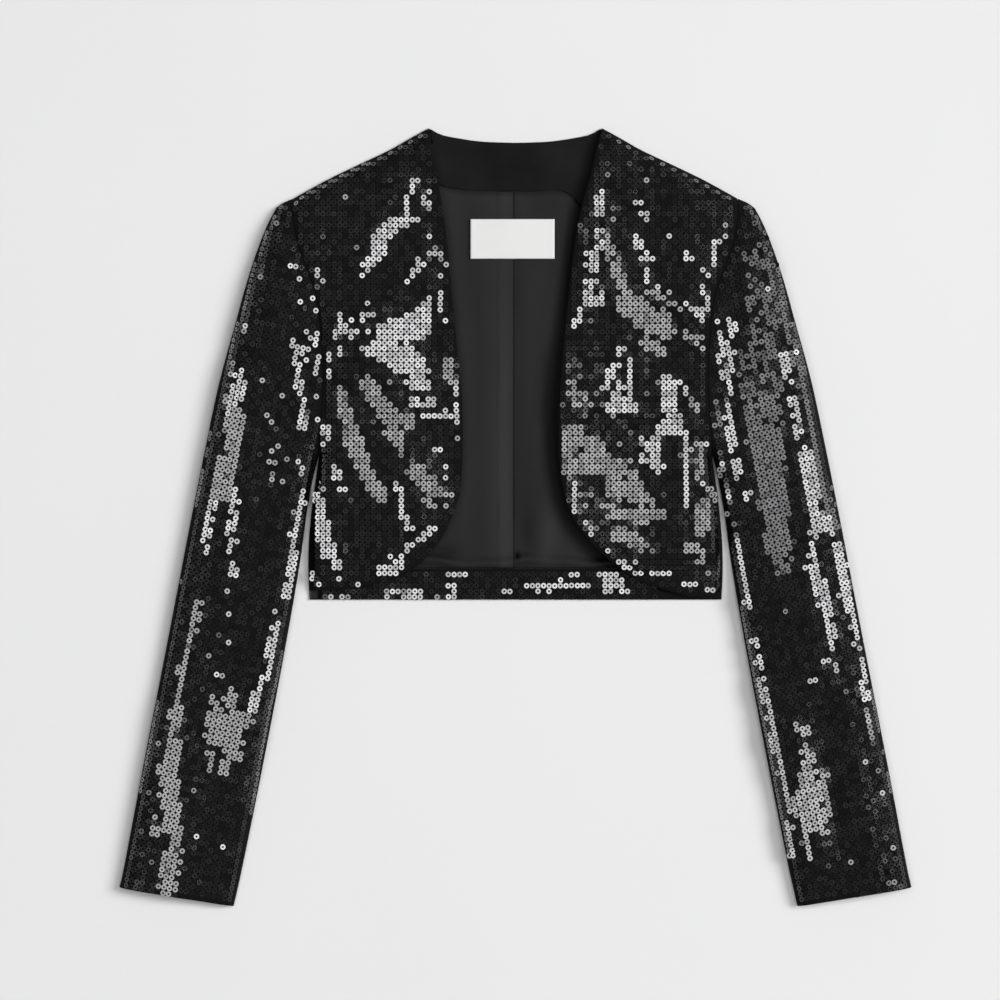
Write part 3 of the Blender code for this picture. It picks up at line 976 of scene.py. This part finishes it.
def mirrored(half):
    """A closed outline from one half, which starts and ends on the centre line or beside it."""
    other = half[::-1] * (-1.0, 1.0)
    return np.concatenate([half, other[np.abs(other[:, 0]) > 0.01]])


def front_outline(side):
    side_line = LINES["side"][LINES["side"][:, 1] > FRONT_CORNER_Y[side] + 1.0]
    outer = shifted(joined(LINES["armhole"], side_line), -SEAM / 2)
    return np.concatenate([LINES[side][::-1], smooth(SHOULDER_LINE, 30)[1:-1], outer, corner(side)])


def sleeve_outline():
    seam = shifted(joined(LINES["armhole"], LINES["inner"]), SEAM / 2)
    over = joined(smooth(CAP_LINE, 6), smooth(SLEEVE_OUTER, 50))[::-1]
    return np.concatenate([seam, over[:-1]])


def back_outline():
    half = joined(
        smooth(NECKLINE, 30)[::-1],
        smooth(SHOULDER_LINE, 30),
        shifted(LINES["armhole"], -SEAM / 2),
        shifted(LINES["side"], -SEAM / 2),
        np.array([[HEM_HALF, HEM_Y], [0.0, HEM_Y]]),
    )
    return mirrored(half)


def crossings(outline, origin, direction):
    """Pairs of places along a line at which it enters and leaves an outline."""
    normal = np.array([-direction[1], direction[0]])
    side = (outline - origin) @ normal
    other = np.roll(side, -1)
    cut = (side > 0) != (other > 0)
    share = side[cut] / (side[cut] - other[cut])
    along = (outline - origin) @ direction
    places = np.sort(along[cut] + (np.roll(along, -1)[cut] - along[cut]) * share)
    return zip(places[0::2], places[1::2])


def made(name, mesh, material, smooth_shaded=True):
    """An object of the mesh that rides with the jacket."""
    if smooth_shaded:
        mesh.shade_smooth()
    piece = bpy.data.objects.new(name, mesh)
    bpy.context.scene.collection.objects.link(piece)
    piece.data.materials.append(material)
    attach(piece, "root")
    return piece


def grid_mesh(name, points, sign=1.0):
    """A mesh over a grid of points, in millimetres, with its faces turned up."""
    rows, columns = points.shape[:2]
    index = np.arange(rows * columns).reshape(rows, columns)
    quads = np.stack([index[:-1, :-1], index[:-1, 1:], index[1:, 1:], index[1:, :-1]], axis=-1)
    quads = quads.reshape(-1, 4)
    if sign < 0:
        quads = quads[:, ::-1]
    mesh = bpy.data.meshes.new(name)
    placed = points.reshape(-1, 3) * np.array([sign, 1.0, 1.0]) * MM
    mesh.from_pydata(placed.tolist(), [], quads.tolist())
    return mesh


def thicken(piece, thickness, inner=None):
    """Gives a shell its thickness, downward from its outer surface, with another finish inside."""
    wall = piece.modifiers.new("Wall", "SOLIDIFY")
    wall.thickness = thickness * MM
    wall.offset = -1.0
    if inner is not None:
        piece.data.materials.append(inner)
        wall.material_offset = 1
    with bpy.context.temp_override(object=piece, active_object=piece):
        bpy.ops.object.modifier_apply(modifier=wall.name)
    return piece


def raised(plan, height):
    return np.concatenate([plan, height[..., None]], axis=-1)


def shell(name, plan, height, material, thickness, sign=1.0, inner=None):
    """A piece of cloth with its outer surface at the given height."""
    piece = made(name, grid_mesh(name, raised(plan, height), sign), material)
    return thicken(piece, thickness, inner)


def add(tree, kind, **settings):
    """A new shader node with its settings; a name with an underscore in front sets an input."""
    node = tree.nodes.new(kind)
    for key, value in settings.items():
        if key.startswith("_"):
            node.inputs[key[1:].replace("_", " ")].default_value = value
        else:
            setattr(node, key, value)
    return node


def finish_of(name, colour, roughness, **inputs):
    """A new material, with its shader and its node tree."""
    material = bpy.data.materials.new(name)
    material.use_nodes = True
    shader = material.node_tree.nodes["Principled BSDF"]
    shader.inputs["Base Color"].default_value = (*colour, 1.0)
    shader.inputs["Roughness"].default_value = roughness
    for key, value in inputs.items():
        shader.inputs[key.replace("_", " ")].default_value = value
    return material, shader, material.node_tree


def spotted(tree, source, low, high, scale, stretch=(1.0, 1.0, 1.0), detail=2.0):
    """A value between low and high that wanders over the cloth."""
    place = add(tree, "ShaderNodeMapping", _Scale=stretch)
    tree.links.new(source.outputs["Object"], place.inputs["Vector"])
    noise = add(tree, "ShaderNodeTexNoise", _Scale=scale, _Detail=detail)
    tree.links.new(place.outputs["Vector"], noise.inputs["Vector"])
    span = add(tree, "ShaderNodeMapRange", _From_Min=0.3, _From_Max=0.7, _To_Min=low, _To_Max=high)
    tree.links.new(noise.outputs["Fac"], span.inputs["Value"])
    return span.outputs["Result"]


def weave(tree, shader, source, across, along, depth):
    """Bump of a plain weave with the given threads to the metre each way."""
    bands = []
    for direction, count in (("X", across), ("Y", along)):
        wave = add(tree, "ShaderNodeTexWave", bands_direction=direction, _Scale=count / 20 * 6.2832 / 2)
        tree.links.new(source.outputs["Object"], wave.inputs["Vector"])
        bands.append(wave.outputs["Fac"])
    both = add(tree, "ShaderNodeMath", operation="MULTIPLY")
    tree.links.new(bands[0], both.inputs[0])
    tree.links.new(bands[1], both.inputs[1])
    bump = add(tree, "ShaderNodeBump", _Strength=0.6, _Distance=depth)
    tree.links.new(both.outputs[0], bump.inputs["Height"])
    tree.links.new(bump.outputs["Normal"], shader.inputs["Normal"])
    return both.outputs[0]


def tinted(tree, shader, value, dark, light):
    """Sets the base colour between two greys by a value from 0 to 1."""
    blend = add(tree, "ShaderNodeMix", data_type="RGBA")
    blend.inputs["A"].default_value = (*dark, 1.0)
    blend.inputs["B"].default_value = (*light, 1.0)
    tree.links.new(value, blend.inputs["Factor"])
    tree.links.new(blend.outputs["Result"], shader.inputs["Base Color"])


def sequin_finish():
    """Black metallised film, with a tone on each sequin that differs at random and in some dimples is
    painted to set how bright its glint looks.
    """
    material, shader, tree = finish_of("black_sequin", (0.2, 0.2, 0.205), 0.12, Metallic=1.0)
    tone = add(tree, "ShaderNodeAttribute", attribute_name="tone")
    tinted(tree, shader, tone.outputs["Fac"], (0.075, 0.075, 0.077), (0.25, 0.25, 0.254))
    rough = add(tree, "ShaderNodeMapRange", _To_Min=0.08, _To_Max=0.14)
    tree.links.new(tone.outputs["Fac"], rough.inputs["Value"])
    tree.links.new(rough.outputs["Result"], shader.inputs["Roughness"])
    return material


def mesh_cloth_finish():
    """The dull black knit that carries the sequins."""
    material, shader, tree = finish_of("black_knit", (0.006, 0.006, 0.0065), 0.9, Specular_IOR_Level=0.1)
    source = add(tree, "ShaderNodeTexCoord")
    threads = weave(tree, shader, source, 1400.0, 1400.0, 0.0002)
    tinted(tree, shader, threads, (0.003, 0.003, 0.0033), (0.009, 0.009, 0.0095))
    return material


def facing_finish():
    """Matte black suiting of the neck facing, which is also laid on the lining's pleat edge as painted
    shade.
    """
    grey = (0.012, 0.012, 0.0125)
    material, shader, tree = finish_of("black_suiting", grey, 0.85, Specular_IOR_Level=0.1)
    source = add(tree, "ShaderNodeTexCoord")
    weave(tree, shader, source, 1800.0, 1800.0, 0.00008)
    patchy = spotted(tree, source, 0.0, 1.0, 18.0)
    tinted(tree, shader, patchy, (0.0052, 0.0052, 0.0055), (0.0118, 0.0118, 0.0122))
    return material


def satin_finish():
    """Charcoal satin, its tone differing at random in streaks along its warp, with painted sheen and
    painted shade from the lining's attribute.
    """
    grey = (0.016, 0.016, 0.0163)
    material, shader, tree = finish_of("charcoal_satin", grey, 0.42, Specular_IOR_Level=0.12)
    source = add(tree, "ShaderNodeTexCoord")
    weave(tree, shader, source, 3000.0, 1200.0, 0.00003)
    patchy = spotted(tree, source, 0.4, 0.58, 9.0, stretch=(3.0, 0.6, 1.0))
    # Painted sheen and painted shade, which the lining carries as an attribute, lighten or darken the
    # colour
    sheen = add(tree, "ShaderNodeAttribute", attribute_name="sheen")
    both = add(tree, "ShaderNodeMath", operation="ADD", use_clamp=True)
    tree.links.new(patchy, both.inputs[0])
    tree.links.new(sheen.outputs["Fac"], both.inputs[1])
    tinted(tree, shader, both.outputs[0], (0.001, 0.001, 0.001), (0.034, 0.034, 0.0347))
    return material


def label_finish():
    """White woven ribbon."""
    material, shader, tree = finish_of("white_ribbon", (0.78, 0.78, 0.775), 0.6)
    source = add(tree, "ShaderNodeTexCoord")
    threads = weave(tree, shader, source, 2400.0, 2400.0, 0.00005)
    tinted(tree, shader, threads, (0.74, 0.74, 0.735), (0.82, 0.82, 0.815))
    return material


def sequin_places(outline, height, lattice):
    """Centres of a panel's sequins: rows at the pitch, and along a row at the pitch over the cloth."""
    angle = np.radians(lattice.lean)
    across = np.array([np.cos(angle), np.sin(angle)])
    down = np.array([-np.sin(angle), np.cos(angle)])
    anchor = np.array([lattice.x, lattice.y])
    margin = lattice.margin
    span = (outline - anchor) @ down
    found = []
    for k in range(int(np.ceil(span.min() / PITCH)), int(np.floor(span.max() / PITCH)) + 1):
        start = anchor + down * k * PITCH
        for first, last in crossings(outline, start, across):
            if last - first < 2 * margin:
                continue
            s = np.arange(first + margin, last - margin, 0.4)
            line = start + s[:, None] * across
            z = height(line[:, 0], line[:, 1])
            run = np.concatenate([[0.0], np.cumsum(np.hypot(np.diff(s), np.diff(z)))])
            run -= np.interp(0.0, s, run)
            steps = np.arange(np.ceil(run[0] / PITCH), np.floor(run[-1] / PITCH) + 1) * PITCH
            found.append(start + np.interp(steps, run, s)[:, None] * across)
    found = np.concatenate(found)
    closed = np.concatenate([outline, outline[:1]])
    return found[reach(found[:, 0], found[:, 1], closed) > margin]


def slopes_at(plan, height, step=0.5):
    x, y = plan[:, 0], plan[:, 1]
    dx = (height(x + step, y) - height(x - step, y)) / (2 * step)
    dy = (height(x, y + step) - height(x, y - step)) / (2 * step)
    return dx, dy


def ring_mesh(name, centres, normals, sides, tones):
    """Flat rings, with a tone on each that its material reads."""
    count = len(centres)
    side_way = np.cross(normals, [0.0, 1.0, 0.0])
    side_way /= np.linalg.norm(side_way, axis=1)[:, None]
    up_way = np.cross(normals, side_way)
    angle = np.linspace(0.0, 2 * np.pi, sides, endpoint=False)
    turned, risen = np.cos(angle)[None, :, None], np.sin(angle)[None, :, None]
    circle = side_way[:, None, :] * turned + up_way[:, None, :] * risen
    both = np.stack([centres[:, None] + circle * RING, centres[:, None] + circle * HOLE], axis=1)
    index = np.arange(count * 2 * sides).reshape(count, 2, sides)
    ahead = np.roll(index, -1, axis=2)
    quads = np.stack([index[:, 0], ahead[:, 0], ahead[:, 1], index[:, 1]], axis=-1).reshape(-1, 4)
    mesh = bpy.data.meshes.new(name)
    mesh.from_pydata((both.reshape(-1, 3) * MM).tolist(), [], quads.tolist())
    tone = mesh.attributes.new("tone", "FLOAT", "FACE")
    tone.data.foreach_set("value", np.repeat(tones, sides).astype(np.float32))
    return mesh


def sequins(name, panel, outline, height, sign, rng, sequin, down=False):
    """The joined sequins of one panel, lying on its cloth or, where down, under it."""
    plan = sequin_places(outline, height, LATTICE[panel])
    plan = plan + rng.normal(0.0, SCATTER, plan.shape)
    dx, dy = slopes_at(plan, height)
    tilt = UNDER_TILT if down else TILT
    lifted = UNDER_CLEAR - PROUD
    tone = rng.uniform(*TONE, len(plan))
    if not down:
        cloth = dx
        dx, tone = leaning(plan, dx, panel, rng)
        lifted = RING * LIFTED * np.abs(dx - cloth)
        dy = mix(np.clip(dy, -EVEN, EVEN), dy, ramp(np.abs(dy) - STEEP, STEEP_RUN))
    dx = dx + rng.normal(0.0, tilt, len(plan))
    dy = dy + rng.normal(0.0, tilt, len(plan))
    glaring = (np.abs(dx) > GLARE[0]) & (np.abs(dx) < GLARE[1])
    dx = np.where(glaring, np.sign(dx) * GLARE[1], dx)
    normals = np.stack([-dx, -dy, np.ones(len(plan))], axis=1)
    normals /= np.linalg.norm(normals, axis=1)[:, None]
    centres = raised(plan, height(plan[:, 0], plan[:, 1]) + lifted)
    lowest = CLEAR + RING * np.hypot(normals[:, 0], normals[:, 1])
    centres[:, 2] = np.maximum(centres[:, 2], lowest)
    if down:
        normals = -normals
    mirror = np.array([sign, 1.0, 1.0])
    sides = UNDER_SIDES if down else RING_SIDES
    mesh = ring_mesh(name, centres * mirror, normals * mirror, sides, tone)
    piece = made(name, mesh, sequin, smooth_shaded=False)
    return piece


def front_cloth(side, knit, lining):
    outer = shifted(LINES["body"][::-1], -SEAM / 2)
    outer = outer[outer[:, 1] > FRONT_CORNER_Y[side] + 1.0]
    outer = np.concatenate([corner(side), outer])
    free = LINES[side][::-1]
    shoulder = smooth(SHOULDER_LINE, 60)
    shoulder[-1] = outer[-1]
    hem = np.stack([free[0], outer[0]])
    plan = patch(free, outer, hem, shoulder, shares(50, 0.02, 0.02), shares(120, 0.006, 0.006))
    height = front_height(plan[..., 0], plan[..., 1], side) - PROUD
    return shell("front_" + side + "_cloth", plan, height, knit, SHELL["front"], SIGN[side], lining)


def fold_gap(x, y):
    """Distance to the nearer folded edge of a sleeve."""
    return np.minimum(reach(x, y, LINES["over"]), reach(x, y, LINES["inner"]))


def sleeve_under(x, y):
    return under_height(x, y, (LINES["over"], LINES["inner"]))


def meeting(plan, height):
    """A sleeve's half, with its outermost points where it meets the other half."""
    x, y = plan[..., 0], plan[..., 1]
    return raised(plan, np.where(fold_gap(x, y) < SLEEVE_MEETS, FOLD_MID, height(x, y)))


def sleeve_cloth(side, knit, lining):
    """One tube, from the top's inner edge over the outer fold and back under to the inner edge."""
    inner = shifted(joined(LINES["armhole"], LINES["inner"])[::-1], SEAM / 2)
    outer = smooth(SLEEVE_OUTER, 80)[::-1]
    cap = smooth(CAP_LINE, 12)
    cap[0] = inner[-1]
    cuff = np.stack([inner[0], outer[0]])
    rows = shares(120, 0.004, 0.004)
    top = patch(inner, outer, cuff, cap, shares(44, 0.025, 0.025), rows)
    low = patch(inner, outer, cuff, cap, shares(22, 0.025, 0.025), rows)
    top = meeting(top, lambda x, y: sleeve_height(x, y, side) - PROUD)
    low = meeting(low, lambda x, y: sleeve_under(x, y) + PROUD)
    points = np.concatenate([top, low[:, ::-1][:, 1:]], axis=1)
    name = "sleeve_" + side + "_cloth"
    mesh = grid_mesh(name, points, SIGN[side])
    tube = bmesh.new()
    tube.from_mesh(mesh)
    bmesh.ops.remove_doubles(tube, verts=tube.verts, dist=WELD * MM)
    bmesh.ops.dissolve_degenerate(tube, edges=tube.edges, dist=WELD * MM / 2)
    tube.to_mesh(mesh)
    tube.free()
    piece = made(name, mesh, knit)
    return thicken(piece, SHELL["sleeve"], lining)


def back_cloth(knit, lining):
    outer = shifted(LINES["body"][::-1], -SEAM / 2)
    over = joined(smooth(NECKLINE, 40)[::-1], smooth(SHOULDER_LINE, 40))
    over[-1] = outer[-1]
    top = np.concatenate([over[::-1] * (-1.0, 1.0), over[1:]])
    hem = np.array([outer[0] * (-1.0, 1.0), outer[0]])
    left = outer * (-1.0, 1.0)
    plan = patch(left, outer, hem, top, shares(70, 0.006, 0.006), shares(60, 0.006, 0.006))
    x, y = np.abs(plan[..., 0]), plan[..., 1]
    hem_line = np.array([[0.0, HEM_Y], [HEM_HALF, HEM_Y]])
    lines = (LINES["over"], LINES["side"], smooth(NECKLINE, 20), hem_line)
    low = under_height(x, y, lines) + PROUD
    mesh = grid_mesh("back_cloth", raised(plan, low), 1.0)
    mesh.flip_normals()
    piece = made("back_cloth", mesh, knit)
    return thicken(piece, SHELL["back"], lining)


def hem_turn_up(knit):
    side = HEM_HALF - INSET
    x = np.linspace(-side, side, 90)
    y = mix(HEM_Y + 0.3, HEM_Y + HEM_DEPTH, shares(12, 0.06, 0.06))
    plan = np.stack(np.meshgrid(x, y), axis=-1)
    height = hem_height(plan[..., 0], plan[..., 1]) - PROUD
    return shell("hem_turn_up", plan, height, knit, SHELL["turn_up"])


def hem_height(x, y):
    """Height of the turned-up hem, rolled at its lower edge and at its sewn upper edge."""
    top = INSIDE + TURN_UP
    height = mix(FOLD_MID, top + wander(x, y, 0.0), turn(y - HEM_Y, TURN))
    return height - SEWN_ROLL * (1 - turn(HEM_Y + HEM_DEPTH - y, EDGE_TURN))


def facing_edge():
    """The neck facing's lower edge, from the wearer's right to the left."""
    return joined(smooth(FACING_EDGE["right"], 40)[::-1] * (-1.0, 1.0), smooth(FACING_EDGE["left"], 40))


def neck_facing(suiting):
    neck = smooth(NECKLINE, 30)[::-1]
    top = shifted(neck, 0.0, -0.3)
    top = np.concatenate([top, FACING_END])
    bottom = facing_edge()
    right = np.stack([bottom[-1], top[-1]])
    upper = np.concatenate([top[::-1] * (-1.0, 1.0), top[1:]])
    plan = patch(right * (-1.0, 1.0), right, bottom, upper, np.linspace(0, 1, 90), shares(16, 0.03, 0.03))
    x, y = np.abs(plan[..., 0]), plan[..., 1]
    neck_gap = reach(x, y, smooth(NECKLINE, 20))
    low_gap = reach(plan[..., 0], y, bottom)
    height = mix(FOLD_MID, INSIDE + FACING, turn(neck_gap, TURN))
    height = height - SEWN_ROLL * (1 - turn(low_gap, EDGE_TURN))
    w = FACING_WAVE
    uneven = w.height * np.sin(plan[..., 0] / w.across + 1.0) * np.sin(y / w.along)
    height = height + uneven * ramp(neck_gap, FACING_WAVE_RUN)
    return shell("neck_facing_cloth", plan, height, suiting, SHELL["facing"])


def lining_cloth(side, satin, pleat_painted_shade):
    fold_y = HEM_Y + HEM_DEPTH + FOLD_CLEAR
    middle = MIDDLE[side]
    inner = np.array([[middle, fold_y], [middle, FACING_EDGE[side][0][1] - UNDER_FACING]])
    outer = shifted(LINES["body"][::-1], -INSET)
    top = joined(smooth(FACING_EDGE[side], 30), np.array(LINING_SHOULDER))
    top = shifted(top[top[:, 0] > middle + 1.0], 0.0, -UNDER_FACING)
    top = np.concatenate([inner[-1:], top])
    outer = outer[(outer[:, 1] > fold_y + 1.0) & (outer[:, 1] < top[-1, 1] - 1.0)]
    outer = np.concatenate([[[HEM_HALF - INSET, fold_y]], outer, top[-1:]])
    columns = np.concatenate([np.linspace(0.0, 0.12, 16), np.linspace(0.14, 1.0, 40)])
    rows = np.concatenate([np.linspace(0.0, 0.1, 24), np.linspace(0.115, 1.0, 60)])
    plan = patch(inner, outer, np.stack([inner[0], outer[0]]), top, columns, rows)
    x, y = plan[..., 0], plan[..., 1]
    height = lining_height(x, y, side)
    w = LINING_WAVE
    uneven = w.height * np.sin(x / w.across + y / w.along)
    height = height + uneven * ramp(x - middle - LINING_WAVE_FROM, LINING_WAVE_RUN)
    name = "lining_" + side + "_satin"
    mesh = grid_mesh(name, raised(plan, height), SIGN[side])
    # Painted sheen and painted shade, kept on the points for the satin to read
    sheen = mesh.attributes.new("sheen", "FLOAT", "POINT")
    sheen.data.foreach_set("value", sheen_at(x * SIGN[side], y).ravel().astype(np.float32))
    piece = made(name, mesh, satin)
    thicken(piece, SHELL["satin"])
    if side == "right":
        # The faces along the pleat's edge take the black suiting, as painted shade
        piece.data.materials.append(pleat_painted_shade)
        for face in piece.data.polygons:
            if abs(face.center.x / MM - PLEAT_EDGE) < PLEAT_EDGE_PAINTED_REACH:
                face.material_index = 1
    return piece


def label_ribbon(ribbon):
    x = np.linspace(LABEL_LEFT, LABEL_RIGHT, 60)
    y = np.linspace(LABEL_LOW, LABEL_HIGH, 24)
    plan = np.stack(np.meshgrid(x, y), axis=-1)
    return shell("label_ribbon", plan, label_height(plan[..., 0]), ribbon, SHELL["label"])


def stage_floor():
    mesh = bpy.data.meshes.new("floor")
    corners = [(FLOOR * a, FLOOR * b, 0.0) for a, b in ((-1, -1), (1, -1), (1, 1), (-1, 1))]
    mesh.from_pydata(corners, [], [(0, 1, 2, 3)])
    floor = bpy.data.objects.new("floor", mesh)
    bpy.context.scene.collection.objects.link(floor)
    material, shader, tree = finish_of("pale_floor", (0.8, 0.8, 0.8), 0.9, Specular_IOR_Level=0.1)
    source = add(tree, "ShaderNodeTexCoord")
    patchy = spotted(tree, source, 0.0, 1.0, 3.0)
    tinted(tree, shader, patchy, (0.795, 0.795, 0.797), (0.805, 0.805, 0.805))
    mesh.materials.append(material)


def softbox(name, lean_x, lean_y, distance, width, length, radiance):
    """An area light aimed at the jacket, leaning from overhead towards +X and +Y, sizes in metres."""
    a, b = np.radians(lean_x), np.radians(lean_y)
    towards = Vector((np.sin(a) * np.cos(b), np.sin(b), np.cos(a) * np.cos(b)))
    sideways = Vector((0.0, 1.0, 0.0)).cross(towards).normalized()
    light = bpy.data.lights.new(name, "AREA")
    light.shape = "RECTANGLE"
    light.size = width
    light.size_y = length
    light.energy = radiance * width * length * np.pi
    lamp = bpy.data.objects.new(name, light)
    bpy.context.scene.collection.objects.link(lamp)
    axes = Matrix((sideways, towards.cross(sideways), towards)).transposed()
    lamp.matrix_world = Matrix.Translation(towards * distance) @ axes.to_4x4()
    lamp.visible_camera = False
    return lamp


def studio():
    for i, s in enumerate(STRIPS):
        width, length = 2 * s.half_width * MM, 2 * s.half_length * MM
        radiance = STRIP_RADIANCE * s.share
        softbox(f"strip_{i + 1}", s.lean_x, s.lean_y, s.distance * MM, width, length, radiance)
    softbox("key", *KEY)
    world = bpy.data.worlds.new("studio")
    bpy.context.scene.world = world
    world.use_nodes = True
    tree = world.node_tree
    source = add(tree, "ShaderNodeTexCoord")
    parts = add(tree, "ShaderNodeSeparateXYZ")
    tree.links.new(source.outputs["Generated"], parts.inputs[0])
    fade = add(tree, "ShaderNodeMapRange", interpolation_type="SMOOTHSTEP", _From_Min=0.12, _From_Max=0.6)
    low, high = WALLS
    fade.inputs["To Min"].default_value = low
    fade.inputs["To Max"].default_value = high
    tree.links.new(parts.outputs["Z"], fade.inputs["Value"])
    tree.links.new(fade.outputs["Result"], tree.nodes["Background"].inputs["Strength"])
    tree.nodes["Background"].inputs["Color"].default_value = (1.0, 1.0, 1.0, 1.0)


# The camera looks straight down on a square of the table
VIEW_WIDTH = 0.88
VIEW_CENTRE = (-0.01364, 0.01496)
CAMERA_HEIGHT = 4.0


def camera():
    lens = bpy.data.cameras.new("camera")
    lens.sensor_width = 36.0
    lens.lens = lens.sensor_width * CAMERA_HEIGHT / VIEW_WIDTH
    seen = bpy.data.objects.new("camera", lens)
    seen.location = (*VIEW_CENTRE, CAMERA_HEIGHT)
    bpy.context.scene.collection.objects.link(seen)
    bpy.context.scene.camera = seen
    bpy.context.scene.view_settings.view_transform = "Standard"


def declare(piece, nodes):
    """Hides the imported solids that a piece stands for."""
    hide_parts(*nodes)


def box_outline(x0, x1, y0, y1):
    return np.array([[x0, y0], [x1, y0], [x1, y1], [x0, y1]])


def dress_back(knit, satin, suiting, sequin, rng):
    """The back with the sequins of its underside, the turned-up hem and the neck facing."""
    back = back_cloth(knit, satin)
    lines = (LINES["over"], LINES["side"])
    outline = back_outline()
    low = sequins(
        "back_sequins", "back", outline, lambda x, y: under_height(np.abs(x), y, lines),
        1.0, rng, sequin, down=True,
    )
    declare(back, ["back"])
    hem = hem_turn_up(knit)
    spangles = sequins("hem_sequins", "hem", np.array(HEM_SEQUINS), hem_height, 1.0, rng, sequin)
    outline = box_outline(INSET - HEM_HALF, HEM_HALF - INSET, HEM_Y, HEM_Y + HEM_DEPTH)
    declare(hem, ["hem_facing"])
    declare(neck_facing(suiting), ["neck_facing"])
    return back


def dress_front(side, knit, satin, sequin, rng):
    name = "front_" + side
    front = front_cloth(side, knit, satin)
    outline = front_outline(side)
    spangles = sequins(
        name + "_sequins", name, outline, lambda x, y: front_height(x, y, side),
        SIGN[side], rng, sequin,
    )
    declare(
        front, [name],
    )


def dress_sleeve(side, knit, satin, sequin, rng):
    name = "sleeve_" + side
    sleeve = sleeve_cloth(side, knit, satin)
    outline = sleeve_outline()
    top = sequins(
        name + "_top_sequins", name, outline, lambda x, y: sleeve_height(x, y, side),
        SIGN[side], rng, sequin,
    )
    low = sequins(name + "_under_sequins", name, outline, sleeve_under, SIGN[side], rng, sequin, down=True)
    nodes = ["sleeve_top_" + side, "sleeve_under_" + side]
    declare(
        sleeve, nodes,
    )


def build():
    rng = np.random.default_rng(SEED)
    sequin = sequin_finish()
    knit = mesh_cloth_finish()
    satin = satin_finish()
    suiting = facing_finish()
    camera()
    stage_floor()
    studio()
    back = dress_back(knit, satin, suiting, sequin, rng)
    for side in SIDES:
        lining = lining_cloth(side, satin, suiting)
        declare(lining, ["lining_back_" + side])
        dress_front(side, knit, satin, sequin, rng)
        dress_sleeve(side, knit, satin, sequin, rng)
    label = label_ribbon(label_finish())
    declare(label, ["label"])


build()
